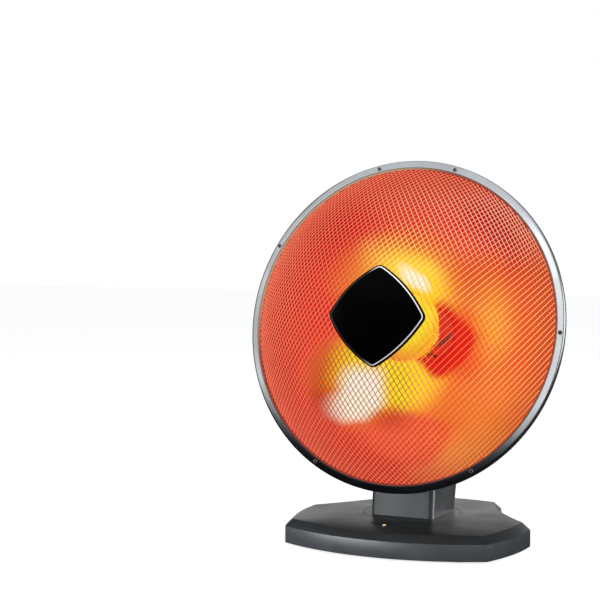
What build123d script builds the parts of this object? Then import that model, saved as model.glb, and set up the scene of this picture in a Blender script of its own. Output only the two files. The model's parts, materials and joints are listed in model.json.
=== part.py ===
from build123d import *
from math import asin, atan2, copysign, cos, degrees, hypot, pi, radians, sin, sqrt, tan
import os

os.makedirs("parts", exist_ok=True)

# Parabolic heater: a tilting dish on a swivelling neck and a wide base.
# Millimetres, +Z up, the dish faces -Y and X runs along the tilt axis.
# The origin is the middle of the whole object's footprint, at floor level.

# ---------------------------------------------------------------- driving sizes
# Shared clearances
running_fit = 0.08      # a round shaft in its bore, on the radius
loose_fit = 0.3         # pieces that sit inside or beside each other
screw_fit = 0.02        # a screw's shank in the hole that it bites into
wall = 2.6              # moulded plastic walls

# Base
foot_height = 2.0
foot_radius = 10.0
plate_thickness = 2.0
front_half_width = 117.4
front_corner_y = -83.5      # from the neck's axis
front_bulge = 31.0
shoulder_half_width = 133.0
shoulder_y = 15.0
side_bulge = 5.5
rear_half_width = 62.0
rear_corner_y = 126.0
rear_bulge = 5.0
waist_depth = 9.0           # how far the rear sides curve in
base_corner_radius = 3.0
wall_height = 18.0
band_slope = 45.0           # the sloping band round the top
plateau_radius = 58.0       # flat middle of the top
plateau_height = 29.5       # above the underside of the casing
crown_drop = 4.0            # fall of the top from the plateau to its far corners
crown_radius = 144.0
front_fall = 5.0            # degrees that the top falls in front of the plateau
boss_radius = 4.5
base_screw_radius = 1.6
base_screw_head = 3.2
base_boss_spots = [(98, -68), (108, 10), (50, 70)]    # mirrored in X
foot_spots = [(84, -80), (40, 112)]                   # mirrored in X

# Indicator on the base
indicator_y = -80.0
lens_radius = 2.4
lens_height = 5.0
lens_rise = 1.1
lamp_radius = 1.9
lamp_length = 9.0

# Control knob on the rear wall
knob_x = 34.0
knob_centre_height = 11.3
knob_radius = 8.0
knob_depth = 8.5
knob_gap = 0.8              # from the flat round it to the knob's rim
knob_flat_radius = 8.5      # of the flat that is cut in the wall
knob_flat_depth = 0.3       # of the flat where it is shallowest
knob_skirt = 1.4            # thickness of the knob's hollow rim
shaft_radius = 3.0
bushing_radius = 4.2
switch_radius = 7.0
switch_depth = 14.0
switch_nut_width = 10.5
switch_nut_height = 2.2

# Tip-over switch
tip_x = -62.0
tip_y = 34.0
tip_travel = 4.0
plunger_radius = 3.0
collar_radius = 4.6
collar_height = 1.6
tip_block_width = 18.0
tip_block_length = 26.0
tip_block_height = 15.0

# Terminal block and cord inlet
terminal_y = 92.0
terminal_width = 34.0
terminal_depth = 16.0
terminal_height = 11.0
terminal_ways = 3
inlet_height = 11.0
inlet_bore = 3.8
inlet_tube = 5.2
inlet_flange = 8.0
inlet_flange_depth = 2.0

# Turntable
turntable_radius = 54.0
turntable_thickness = 4.0
glide_thickness = 0.7
well_floor = 2.6
hub_radius = 24.0
hub_bore = 12.0
retainer_radius = 36.0
retainer_thickness = 2.5
retainer_screw_circle = 18.0
swivel_half_range = 40.0
stop_radius = 2.0
stop_circle = 30.0
seam_gap = 0.6

# Neck column
neck_half_width = 37.2
neck_front_y = -32.0
neck_back_y = 33.0
neck_lean_front = 3.0       # the front face leans back this much up to its knee
neck_knee_height = 34.0     # above the turntable
neck_floor = 3.0
neck_edge_radius = 6.0
cover_thickness = 2.4
cover_screw_radius = 1.5
cover_screw_head = 3.0
cover_screw_length = 9.0
cover_post = 9.0
foot_screw_spots = [(25, -22), (25, 22)]              # mirrored in X
foot_screw_radius = 1.8
foot_screw_head = 3.4
foot_screw_head_height = 1.8
foot_boss_radius = 4.5
foot_boss_height = 8.0

# Tilt joint, between the neck's two cheeks
tilt_y = 40.0
tilt_drop = 102.9           # below the centre of the trim ring
cheek_rise = 26.0           # the joint's height above the neck's deck
cheek_radius = 15.0
cheek_thickness = 9.0
knuckle_half_width = 15.0
knuckle_radius = 12.0
washer_thickness = 1.0
washer_radius = 10.0
bolt_radius = 3.0
bolt_head_radius = 6.0
bolt_head_height = 4.0
nut_width = 10.0
nut_height = 5.0

# Dish, measured from the centre of the trim ring's front edge
ring_forward = 34.2         # from the neck's axis
ring_height = 243.4         # above the floor
dish_tilt = 11.0            # the dish looks up by this angle
ring_radius = 184.0
ring_face = 8.5             # width of the ring's front face
ring_sheet = 0.8
ring_crown = 0.9
ring_skirt = 5.8
guard_rim_show = 1.7        # how far the guard's rim shows inside the ring
guard_rim_thickness = 1.0
dish_sheet = 1.0
dish_lip_show = 0.5         # how far the dish's flange shows inside the ring
dish_depth = 85.0
dish_hub_radius = 42.0
dish_hole_radius = 22.0
flange_gap = 0.4            # from the flange's edge to the ring's skirt

# Ring screws, clockwise from the top seen from the front
ring_screw_angles = [-61, -13, 16, 91, 149, 210]
ring_screw_inset = 4.6      # from the ring's outer edge
ring_screw_radius = 1.3
ring_screw_head = 2.4
ring_screw_dome = 0.9
ring_nut_width = 5.5
ring_nut_height = 2.2

# Guard: two layers of wires on a dome
guard_rise = 74.0           # from the rim to the top of the dome
wire_radius = 0.5
wire_layer_gap = 0.3
wire_pitch = 16.0
wire_directions = [51.0, 115.0]     # from the horizontal, seen from the front

# Badge in the middle of the guard
badge_reach = 55.5          # from its middle to each point, before rounding
badge_bulge = 6.0           # of each side
badge_point_radius = 8.0
badge_thickness = 3.0
badge_inlay_width = 1.1
badge_inlay_inset = 1.6
badge_inlay_height = 0.4
badge_boss_radius = 4.0
clamp_radius = 13.0
clamp_thickness = 1.6
badge_screw_radius = 1.5
badge_screw_head = 3.0
badge_screw_head_height = 2.0

# Heating element on the dish's axis
element_flange_radius = 31.0
element_flange_thickness = 5.0
element_tail = 12.0         # behind the dish
core_radius = 15.0
core_tip_radius = 12.0
core_reach = 66.0           # from the flange to the tip
coil_wire_radius = 1.4
coil_gap = 0.35
coil_turns = 11
coil_start = 12.0           # from the flange
coil_pitch = 4.4
pin_radius = 2.0
pin_spacing = 18.0
pin_length = 9.0

# Cap in front of the element
cap_radius = 40.0
cap_depth = 15.0
cap_sheet = 1.2
cap_front = 4.0             # its front edge, ahead of the ring's front edge
cap_edge_radius = 6.0
cap_rod_radius = 1.5
cap_rod_circle = 27.0
cap_rod_angles = [155, 335]         # clockwise from the top

# Carrier behind the dish
arm_thickness = 2.6
arm_radius = 46.0
arm_hole_radius = 24.0
arm_half_width = 14.0
rivet_circle = 37.0
rivet_radius = 1.8
rivet_head_radius = 3.6
rivet_head_height = 1.2
rivet_angles = [45, 135, 225, 315]
cutout_radius = 6.5
cutout_height = 8.0
cutout_place = 33.0         # below the dish's axis

# Housing behind the dish
housing_radius = 62.0
housing_depth = 44.0        # behind the arm plate's front face
housing_edge_radius = 14.0
housing_tail_half_width = 27.0
housing_tail_reach = 70.0
housing_tail_depth = 26.0
housing_boss_radius = 4.6
housing_boss_circle = 36.0
housing_screw_radius = 1.5
housing_screw_head = 3.0
housing_screw_angles = [0, 120, 240]    # clockwise from the top
housing_screw_well = 24.0
vent_count = 7
vent_pitch = 8.0
vent_width = 3.0
vent_length = 46.0

# ---------------------------------------------------------------- worked-out sizes
wall_top_z = foot_height + wall_height
crown_slope = crown_drop / (crown_radius - plateau_radius)
front_slope = tan(radians(front_fall))
plate_top_z = foot_height + plate_thickness
plateau_z = foot_height + plateau_height
disc_bottom_z = plateau_z - turntable_thickness
floor_top_z = disc_bottom_z - glide_thickness
floor_bottom_z = floor_top_z - well_floor
retainer_top_z = floor_bottom_z - running_fit
retainer_bottom_z = retainer_top_z - retainer_thickness
tilt_z = ring_height - tilt_drop
tilt_height = tilt_z - plateau_z
deck_height = tilt_height - cheek_rise
deck_front_y = tilt_y - cheek_radius
deck_back_y = tilt_y + cheek_radius
neck_back_run = deck_back_y - neck_back_y
neck_back_lean = degrees(atan2(neck_back_run, deck_height))

ring_inner_radius = ring_radius - ring_face
guard_rim_inner = ring_inner_radius - guard_rim_show
dish_mouth_radius = ring_inner_radius - dish_lip_show
ring_screw_circle = ring_radius - ring_screw_inset

tilt_cos = cos(radians(dish_tilt))
tilt_sin = sin(radians(dish_tilt))
flange_front = -ring_sheet - guard_rim_thickness
flange_radius = ring_radius - ring_sheet - flange_gap
hub_front = flange_front - dish_depth
hub_back = hub_front - dish_sheet
arm_back = hub_back - arm_thickness
housing_back = arm_back - housing_depth
dish_curve = dish_depth / (dish_mouth_radius**2 - dish_hub_radius**2)

wire_end_radius = guard_rim_inner - wire_radius - running_fit
wire_end_level = -ring_sheet - guard_rim_thickness / 2
outer_wire_sphere = (wire_end_radius**2 + guard_rise**2) / (2 * guard_rise)
inner_wire_sphere = outer_wire_sphere - 2 * wire_radius - wire_layer_gap
sphere_level = wire_end_level + guard_rise - outer_wire_sphere
badge_back_sphere = outer_wire_sphere + wire_radius + loose_fit
badge_front_sphere = badge_back_sphere + badge_thickness
inlay_front_sphere = badge_front_sphere + badge_inlay_height

rear_wall_radius = (rear_half_width**2 + rear_bulge**2) / (2 * rear_bulge)
flat_edge_drop = rear_wall_radius - sqrt(rear_wall_radius**2 - (knob_x + knob_flat_radius) ** 2)
knob_flat_y = rear_corner_y + rear_bulge - flat_edge_drop - knob_flat_depth
rear_inlet_reach = rear_corner_y + rear_bulge + inlet_flange_depth

# The origin is the middle of the footprint, so the neck's axis lies off it in Y.
front_reach = ring_forward + sphere_level * tilt_cos + inlay_front_sphere
rear_reach = max(knob_flat_y + knob_gap + knob_depth, rear_inlet_reach)
axis_y = (front_reach - rear_reach) / 2

# ---------------------------------------------------------------- planes and helpers
neck_axis = Axis((0, axis_y, 0), (0, 0, 1))
neck_side = Plane((0, axis_y, plateau_z), x_dir=(0, 1, 0), z_dir=(1, 0, 0))
neck_section = Plane((0, axis_y, 0), x_dir=(1, 0, 0), z_dir=(0, -1, 0))
neck_back = Plane(
    (0, axis_y + neck_back_y, plateau_z),
    x_dir=(-1, 0, 0),
    z_dir=(0, cos(radians(neck_back_lean)), -sin(radians(neck_back_lean))),
)
tilt_plane = Plane((0, axis_y + tilt_y, tilt_z), x_dir=(0, 1, 0), z_dir=(1, 0, 0))

head_origin = Vector(0, axis_y - ring_forward, ring_height)
head_forward = Vector(0, -tilt_cos, tilt_sin)
head_up = Vector(0, tilt_sin, tilt_cos)
head = Plane(head_origin, x_dir=(1, 0, 0), z_dir=head_forward)
head_section = Plane(head_origin, x_dir=(1, 0, 0), z_dir=-head_up)
head_axis = Axis(head_origin, head_forward)
sphere_centre = head_origin + head_forward * sphere_level


def level(z):
    """A flat plane at height z, centred on the neck's axis."""
    return Plane((0, axis_y, z))


def both_sides(spots):
    """Each spot and its twin across the middle plane."""
    return [(side * x, y) for x, y in spots for side in (1, -1)]


def clock_spots(radius, angles):
    """Spots on a circle, by angle clockwise from the top."""
    return [(radius * sin(radians(a)), radius * cos(radians(a))) for a in angles]


def top_z(x, y):
    """Height of the base's top at a spot, measured from the neck's axis."""
    crown_fall = crown_slope * max(0.0, hypot(x, y) - plateau_radius)
    return plateau_z - max(crown_fall, front_slope * (-y - plateau_radius))


def finish(part, name):
    """Label a finished piece and write its file."""
    part.label = name
    export_step(part, f"parts/{name}.step")


# ---------------------------------------------------------------- base: casing
def waist_circle():
    """Centre and radius of the curve of the base's right side, behind its shoulder."""
    start = Vector(shoulder_half_width, shoulder_y)
    end = Vector(rear_half_width, rear_corner_y)
    chord = end - start
    outward = Vector(chord.Y, -chord.X).normalized()
    radius = (chord.length**2 / 4 + waist_depth**2) / (2 * waist_depth)
    centre = (start + end) / 2 + outward * (radius - waist_depth)
    return centre, radius


def arc_quarter(end, middle):
    """A point between the end of a shallow arc and its middle, which is at X = 0."""
    rise = middle[1] - end[1]
    radius = (end[0] ** 2 + rise**2) / (2 * rise)
    drop = radius - copysign(sqrt(radius**2 - (end[0] / 2) ** 2), radius)
    return (end[0] / 2, middle[1] - drop)


def base_outline(inset):
    """The base's plan, drawn in all round by the inset."""
    front = (front_half_width, front_corner_y)
    front_middle = (0, front_corner_y - front_bulge)
    shoulder = (shoulder_half_width, shoulder_y)
    rear = (rear_half_width, rear_corner_y)
    rear_middle = (0, rear_corner_y + rear_bulge)
    side_x = (front_half_width + shoulder_half_width) / 2 + side_bulge
    side_y = (front_corner_y + shoulder_y) / 2
    centre, radius = waist_circle()
    middle = (Vector(*shoulder) + Vector(*rear)) / 2
    waist = centre + (middle - centre).normalized() * radius
    with BuildSketch() as plan:
        with BuildLine():
            ThreePointArc(front_middle, arc_quarter(front, front_middle), front)
            ThreePointArc(front, (side_x, side_y), shoulder)
            ThreePointArc(shoulder, (waist.X, waist.Y), rear)
            ThreePointArc(rear, arc_quarter(rear, rear_middle), rear_middle)
            mirror(about=Plane.YZ)
        make_face()
        if inset:
            offset(amount=-inset, kind=Kind.INTERSECTION)
    return plan.sketch


def crowned_block(inset, band_start, lowered):
    """The base's body: straight wall, sloping band and crowned top, or the hollow in it."""
    rise = plateau_z - wall_top_z
    far = 2 * crown_radius
    bottom = foot_height - 1
    with BuildPart() as block:
        with BuildSketch(level(foot_height)):
            add(base_outline(inset))
        extrude(amount=band_start - foot_height)
        with BuildSketch(level(band_start)):
            add(base_outline(inset))
        extrude(amount=rise, taper=band_slope)
        if not inset:
            corners = block.edges().filter_by(
                lambda e: abs(e.center().X) > 1 and abs((e @ 0).Z - (e @ 1).Z) > 1
            )
            fillet(corners, base_corner_radius)
        with BuildSketch(neck_section):
            Polygon(
                (0, bottom),
                (far, bottom),
                (far, plateau_z - crown_slope * (far - plateau_radius) - lowered),
                (plateau_radius, plateau_z - lowered),
                (0, plateau_z - lowered),
                align=None,
            )
        revolve(axis=neck_axis, mode=Mode.INTERSECT)
        with BuildSketch(neck_side):
            Polygon(
                (far, bottom - plateau_z),
                (far, -lowered),
                (-plateau_radius, -lowered),
                (-far, -lowered - front_slope * (far - plateau_radius)),
                (-far, bottom - plateau_z),
                align=None,
            )
        extrude(amount=far, both=True, mode=Mode.INTERSECT)
    return block.part


knob_face = Plane(
    (knob_x, axis_y + knob_flat_y, knob_centre_height),
    x_dir=(1, 0, 0),
    z_dir=(0, 1, 0),
)
knob_axis = Axis(knob_face.origin, knob_face.z_dir)
outer_block = crowned_block(0, wall_top_z, 0)
cavity_block = crowned_block(wall, wall_top_z + wall - wall * sqrt(2), wall)

with BuildPart() as base_shell:
    add(outer_block)
    add(cavity_block, mode=Mode.SUBTRACT)
    # the well that the turntable lies in, with its wall and floor
    with BuildSketch(level(floor_bottom_z)):
        Circle(turntable_radius + seam_gap + wall)
    extrude(amount=plateau_z - wall - floor_bottom_z)
    with BuildSketch(level(floor_top_z)):
        Circle(turntable_radius + seam_gap)
    extrude(amount=plateau_z, mode=Mode.SUBTRACT)
    with BuildSketch(level(floor_bottom_z)):
        Circle(hub_radius + running_fit)
    extrude(amount=plateau_z, mode=Mode.SUBTRACT)
    # the peg that stops the swivel
    with BuildSketch(level(retainer_bottom_z)):
        with Locations((0, stop_circle)):
            Circle(stop_radius)
    extrude(amount=floor_bottom_z - retainer_bottom_z)
    # screw bosses under the top
    for spot in both_sides(base_boss_spots):
        with BuildSketch(level(plate_top_z)):
            with Locations(spot):
                Circle(boss_radius)
        extrude(amount=top_z(*spot) - wall / 2 - plate_top_z)
    with BuildSketch(level(plate_top_z)):
        with Locations(*both_sides(base_boss_spots)):
            Circle(base_screw_radius + screw_fit)
    extrude(amount=wall_height - wall, mode=Mode.SUBTRACT)
    # indicator hole, switch hole with its flat, and cord inlet
    with BuildSketch(level(wall_top_z)):
        with Locations((0, indicator_y)):
            Circle(lens_radius + loose_fit / 2)
    extrude(amount=plateau_z, mode=Mode.SUBTRACT)
    with BuildSketch(knob_face):
        Circle(knob_flat_radius)
    extrude(amount=wall, mode=Mode.SUBTRACT)
    with BuildSketch(knob_face.offset(-2 * wall)):
        Circle(bushing_radius + running_fit)
    extrude(amount=3 * wall, mode=Mode.SUBTRACT)
    with BuildSketch(Plane((0, axis_y + rear_corner_y, inlet_height), z_dir=(0, 1, 0))):
        Circle(inlet_tube + running_fit)
    extrude(amount=2 * wall, both=True, mode=Mode.SUBTRACT)
finish(base_shell.part, "base_shell")

with BuildPart() as base_plate:
    with BuildSketch(level(foot_height)):
        add(base_outline(wall + loose_fit))
        with Locations(*both_sides(base_boss_spots)):
            Circle(base_screw_radius + loose_fit, mode=Mode.SUBTRACT)
        with Locations((tip_x, tip_y)):
            Circle(plunger_radius + running_fit, mode=Mode.SUBTRACT)
    extrude(amount=plate_thickness)
finish(base_plate.part, "base_plate")

with BuildPart() as rubber_feet:
    with BuildSketch(level(0)):
        with Locations(*both_sides(foot_spots)):
            Circle(foot_radius)
    extrude(amount=foot_height)
    chamfer(rubber_feet.edges().group_by(Axis.Z)[0], foot_height / 4)
finish(rubber_feet.part, "rubber_feet")

with BuildPart() as base_screws:
    head_height = foot_height * 0.7
    with BuildSketch(level(foot_height - head_height)):
        with Locations(*both_sides(base_boss_spots)):
            Circle(base_screw_head)
    extrude(amount=head_height)
    with BuildSketch(level(foot_height)):
        with Locations(*both_sides(base_boss_spots)):
            Circle(base_screw_radius)
    extrude(amount=plate_thickness + wall_height / 2)
finish(base_screws.part, "base_screws")

# ---------------------------------------------------------------- base: indicator
lens_top = top_z(0, indicator_y)

with BuildPart() as indicator_lens:
    with BuildSketch(level(lens_top - lens_height)):
        with Locations((0, indicator_y)):
            Circle(lens_radius)
    extrude(amount=lens_height + lens_rise)
    fillet(indicator_lens.edges().group_by(Axis.Z)[-1], 0.9 * lens_rise)
finish(indicator_lens.part, "indicator_lens")

with BuildPart() as indicator_lamp:
    with BuildSketch(level(lens_top - lens_height)):
        with Locations((0, indicator_y)):
            Circle(lamp_radius)
    extrude(amount=-lamp_length)
    fillet(indicator_lamp.edges().group_by(Axis.Z)[0], lamp_radius / 2)
finish(indicator_lamp.part, "indicator_lamp")

# ---------------------------------------------------------------- base: control
switch_front = -wall - loose_fit
bushing_front = switch_nut_height + loose_fit
knob_recess = bushing_front - knob_gap + loose_fit

with BuildPart() as rotary_switch:
    with BuildSketch(knob_face.offset(switch_front)):
        Circle(switch_radius)
    extrude(amount=-switch_depth)
    with BuildSketch(knob_face.offset(switch_front)):
        Circle(bushing_radius)
    extrude(amount=bushing_front - switch_front)
    with BuildSketch(knob_face.offset(switch_front)):
        Circle(shaft_radius + running_fit)
    extrude(amount=bushing_front - switch_front, mode=Mode.SUBTRACT)
finish(rotary_switch.part, "rotary_switch")

with BuildPart() as switch_nut:
    with BuildSketch(knob_face):
        RegularPolygon(switch_nut_width / 2, 6, major_radius=False)
        Circle(bushing_radius + screw_fit, mode=Mode.SUBTRACT)
    extrude(amount=switch_nut_height)
finish(switch_nut.part, "switch_nut")

with BuildPart() as control_knob:
    with BuildSketch(knob_face.offset(knob_gap)):
        Circle(knob_radius)
    extrude(amount=knob_depth)
    fillet(control_knob.edges().group_by(knob_axis)[-1], knob_skirt / 2)
    with BuildSketch(knob_face.offset(knob_gap)):
        Circle(knob_radius - knob_skirt)
    extrude(amount=knob_recess, mode=Mode.SUBTRACT)
    with BuildSketch(knob_face.offset(knob_gap)):
        Circle(shaft_radius + screw_fit)
    extrude(amount=knob_depth - wall, mode=Mode.SUBTRACT)
finish(control_knob.part, "control_knob")

with BuildPart() as switch_shaft:
    with BuildSketch(knob_face.offset(switch_front)):
        Circle(shaft_radius)
    extrude(amount=knob_gap + knob_depth - wall - switch_front)
finish(switch_shaft.part, "switch_shaft")

# ---------------------------------------------------------------- base: tip-over switch
collar_z = plate_top_z + tip_travel + loose_fit
plunger_top = collar_z + collar_height + tip_travel

with BuildPart() as tip_switch:
    with BuildSketch(level(plate_top_z)):
        with Locations((tip_x, tip_y)):
            Rectangle(tip_block_width, tip_block_length)
    extrude(amount=tip_block_height)
    with BuildSketch(level(plate_top_z)):
        with Locations((tip_x, tip_y)):
            Circle(collar_radius + loose_fit)
    extrude(amount=collar_z + collar_height + loose_fit - plate_top_z, mode=Mode.SUBTRACT)
    with BuildSketch(level(plate_top_z)):
        with Locations((tip_x, tip_y)):
            Circle(plunger_radius + running_fit)
    extrude(amount=plunger_top + loose_fit - plate_top_z, mode=Mode.SUBTRACT)
finish(tip_switch.part, "tip_switch")

with BuildPart() as tip_plunger:
    with BuildSketch(level(0)):
        with Locations((tip_x, tip_y)):
            Circle(plunger_radius)
    extrude(amount=plunger_top)
    with BuildSketch(level(collar_z)):
        with Locations((tip_x, tip_y)):
            Circle(collar_radius)
    extrude(amount=collar_height)
finish(tip_plunger.part, "tip_plunger")

# ---------------------------------------------------------------- base: mains
with BuildPart() as terminal_block:
    with BuildSketch(level(plate_top_z)):
        with Locations((0, terminal_y)):
            Rectangle(terminal_width, terminal_depth)
    extrude(amount=terminal_height)
    way_pitch = terminal_width / terminal_ways
    with BuildSketch(level(plate_top_z + terminal_height)):
        with Locations((0, terminal_y)):
            with GridLocations(way_pitch, terminal_depth / 2, terminal_ways, 2):
                Circle(way_pitch / 5)
    extrude(amount=-terminal_height / 3, mode=Mode.SUBTRACT)
finish(terminal_block.part, "terminal_block")

inlet_plane = Plane(
    (0, axis_y + rear_corner_y + rear_bulge, inlet_height),
    x_dir=(1, 0, 0),
    z_dir=(0, 1, 0),
)
with BuildPart() as cord_bushing:
    with BuildSketch(inlet_plane.offset(-2 * wall)):
        Circle(inlet_tube)
    extrude(amount=2 * wall)
    with BuildSketch(inlet_plane):
        Circle(inlet_flange)
    extrude(amount=inlet_flange_depth)
    with BuildSketch(inlet_plane.offset(-2 * wall)):
        Circle(inlet_bore)
    extrude(amount=2 * wall + inlet_flange_depth, mode=Mode.SUBTRACT)
finish(cord_bushing.part, "cord_bushing")

# ---------------------------------------------------------------- neck: turntable
with BuildPart() as glide_ring:
    with BuildSketch(level(floor_top_z)):
        Circle(turntable_radius - wall)
        Circle(hub_radius + wall, mode=Mode.SUBTRACT)
    extrude(amount=glide_thickness)
finish(glide_ring.part, "glide_ring")

foot_screws_at = both_sides(foot_screw_spots)
retainer_screws_at = clock_spots(retainer_screw_circle, [0, 120, 240])

with BuildPart() as turntable:
    with BuildSketch(level(disc_bottom_z)):
        Circle(turntable_radius)
    extrude(amount=turntable_thickness)
    with BuildSketch(level(floor_bottom_z)):
        Circle(hub_radius)
    extrude(amount=disc_bottom_z - floor_bottom_z)
    with BuildSketch(level(floor_bottom_z)):
        Circle(hub_bore)
    extrude(amount=plateau_z, mode=Mode.SUBTRACT)
    with BuildSketch(level(disc_bottom_z)):
        with Locations(*foot_screws_at):
            Circle(foot_screw_head + loose_fit)
    extrude(amount=foot_screw_head_height + loose_fit / 2, mode=Mode.SUBTRACT)
    with BuildSketch(level(disc_bottom_z)):
        with Locations(*foot_screws_at):
            Circle(foot_screw_radius + loose_fit / 2)
    extrude(amount=turntable_thickness, mode=Mode.SUBTRACT)
    with BuildSketch(level(floor_bottom_z)):
        with Locations(*retainer_screws_at):
            Circle(cover_screw_radius + screw_fit)
    extrude(amount=turntable_thickness, mode=Mode.SUBTRACT)
finish(turntable.part, "turntable")

with BuildPart() as retaining_ring:
    with BuildSketch(level(retainer_bottom_z)):
        Circle(retainer_radius)
        Circle(hub_bore, mode=Mode.SUBTRACT)
        with BuildLine(mode=Mode.PRIVATE) as stop_path:
            CenterArc((0, 0), stop_circle, 90 - swivel_half_range, 2 * swivel_half_range)
        SlotArc(stop_path.edge(), 2 * (stop_radius + loose_fit), mode=Mode.SUBTRACT)
        with Locations(*retainer_screws_at):
            Circle(cover_screw_radius + loose_fit / 2, mode=Mode.SUBTRACT)
    extrude(amount=retainer_thickness)
    # a low collar meets the hub through the running gap
    with BuildSketch(level(retainer_top_z)):
        Circle(hub_radius - loose_fit)
        Circle(hub_bore, mode=Mode.SUBTRACT)
        with Locations(*retainer_screws_at):
            Circle(cover_screw_radius + loose_fit / 2, mode=Mode.SUBTRACT)
    extrude(amount=floor_bottom_z - retainer_top_z)
finish(retaining_ring.part, "retaining_ring")

with BuildPart() as retaining_screws:
    with BuildSketch(level(retainer_bottom_z)):
        with Locations(*retainer_screws_at):
            Circle(cover_screw_head)
    extrude(amount=-cover_screw_head / 2)
    with BuildSketch(level(retainer_bottom_z)):
        with Locations(*retainer_screws_at):
            Circle(cover_screw_radius)
    extrude(amount=retainer_thickness + turntable_thickness)
finish(retaining_screws.part, "retaining_screws")

with BuildPart() as foot_screws:
    with BuildSketch(level(disc_bottom_z)):
        with Locations(*foot_screws_at):
            Circle(foot_screw_head)
    extrude(amount=foot_screw_head_height)
    with BuildSketch(level(disc_bottom_z)):
        with Locations(*foot_screws_at):
            Circle(foot_screw_radius)
    extrude(amount=turntable_thickness + foot_boss_height - loose_fit)
finish(foot_screws.part, "foot_screws")

# ---------------------------------------------------------------- neck: column
knee_y = neck_front_y + neck_lean_front
cheek_start = knuckle_half_width + washer_thickness
cover_depth = cover_thickness / cos(radians(neck_back_lean))


def back_y(height):
    """Where the column's rear face is, at a height above the turntable."""
    return neck_back_y + neck_back_run * height / deck_height


def post_heights():
    """Bottom and top of the two rows of posts that the rear cover screws to."""
    top = deck_height - wall
    return [(neck_floor, neck_floor + cover_post), (top - cover_post, top)]


def cover_screw_spots():
    """Screws of the rear cover, on the sloping back plane."""
    x = neck_half_width - wall - cover_post / 2
    middles = [(low + high) / 2 for low, high in post_heights()]
    return both_sides([(x, z / cos(radians(neck_back_lean))) for z in middles])


with BuildPart() as neck_shell:
    with BuildSketch(neck_side):
        Polygon(
            (neck_front_y, 0),
            (knee_y, neck_knee_height),
            (deck_front_y, deck_height),
            (deck_back_y, deck_height),
            (neck_back_y, 0),
            align=None,
        )
    extrude(amount=neck_half_width, both=True)
    side_edges = neck_shell.edges().filter_by(
        lambda e: abs(abs(e.center().X) - neck_half_width) < 0.01
    )
    fillet(
        side_edges.filter_by(lambda e: e.center().Z > plateau_z + 1).sort_by(Axis.Y)[:4],
        neck_edge_radius,
    )
    # hollow, open at the back
    with BuildSketch(neck_side):
        Polygon(
            (neck_front_y + wall, neck_floor),
            (knee_y + wall, neck_knee_height - wall / 2),
            (deck_front_y + wall, deck_height - wall),
            (2 * deck_back_y, deck_height - wall),
            (2 * deck_back_y, neck_floor),
            align=None,
        )
    extrude(amount=neck_half_width - wall, both=True, mode=Mode.SUBTRACT)
    # posts for the rear cover
    for low, high in post_heights():
        for side in (1, -1):
            with BuildSketch(neck_side.offset(side * (neck_half_width - wall))):
                Polygon(
                    (back_y(low) - cover_depth - cover_post, low),
                    (back_y(high) - cover_depth - cover_post, high),
                    (back_y(high) - cover_depth, high),
                    (back_y(low) - cover_depth, low),
                    align=None,
                )
            extrude(amount=-side * cover_post)
    # the two cheeks of the tilt yoke
    for side in (1, -1):
        with BuildSketch(tilt_plane.offset(side * cheek_start)):
            Circle(cheek_radius)
            with Locations((0, -(tilt_height - deck_height) / 2)):
                Rectangle(2 * cheek_radius, tilt_height - deck_height)
        extrude(amount=side * cheek_thickness)
    with BuildSketch(tilt_plane):
        Circle(bolt_radius + screw_fit)
    extrude(amount=neck_half_width, both=True, mode=Mode.SUBTRACT)
    # floor: bosses for the foot screws, and the way through for the wires
    with BuildSketch(level(plateau_z)):
        with Locations(*foot_screws_at):
            Circle(foot_boss_radius)
    extrude(amount=foot_boss_height)
    with BuildSketch(level(plateau_z)):
        with Locations(*foot_screws_at):
            Circle(foot_screw_radius + screw_fit)
    extrude(amount=foot_boss_height, mode=Mode.SUBTRACT)
    with BuildSketch(level(plateau_z)):
        Circle(hub_bore)
    extrude(amount=neck_floor, mode=Mode.SUBTRACT)
    with BuildSketch(neck_back):
        with Locations(*cover_screw_spots()):
            Circle(cover_screw_radius + screw_fit)
    extrude(amount=-cover_screw_length, mode=Mode.SUBTRACT)
finish(neck_shell.part, "neck_shell")

with BuildPart() as neck_rear_cover:
    cover_low = neck_floor + loose_fit
    cover_high = deck_height - wall - loose_fit
    with BuildSketch(neck_side):
        Polygon(
            (back_y(cover_low) - cover_depth, cover_low),
            (back_y(cover_high) - cover_depth, cover_high),
            (back_y(cover_high), cover_high),
            (back_y(cover_low), cover_low),
            align=None,
        )
    extrude(amount=neck_half_width - wall - loose_fit, both=True)
    with BuildSketch(neck_back):
        with Locations(*cover_screw_spots()):
            Circle(cover_screw_radius + loose_fit / 2)
    extrude(amount=-2 * wall, mode=Mode.SUBTRACT)
finish(neck_rear_cover.part, "neck_rear_cover")

with BuildPart() as neck_cover_screws:
    with BuildSketch(neck_back):
        with Locations(*cover_screw_spots()):
            Circle(cover_screw_head)
    extrude(amount=cover_screw_head / 2)
    with BuildSketch(neck_back):
        with Locations(*cover_screw_spots()):
            Circle(cover_screw_radius)
    extrude(amount=-cover_screw_length)
    fillet(neck_cover_screws.edges().group_by(Axis.Y)[-1], cover_screw_head / 5)
finish(neck_cover_screws.part, "neck_cover_screws")

# ---------------------------------------------------------------- neck: tilt joint
cheek_end = cheek_start + cheek_thickness

with BuildPart() as friction_washers:
    for side in (1, -1):
        with BuildSketch(tilt_plane.offset(side * knuckle_half_width)):
            Circle(washer_radius)
            Circle(bolt_radius + running_fit, mode=Mode.SUBTRACT)
        extrude(amount=side * washer_thickness)
finish(friction_washers.part, "friction_washers")

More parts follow.
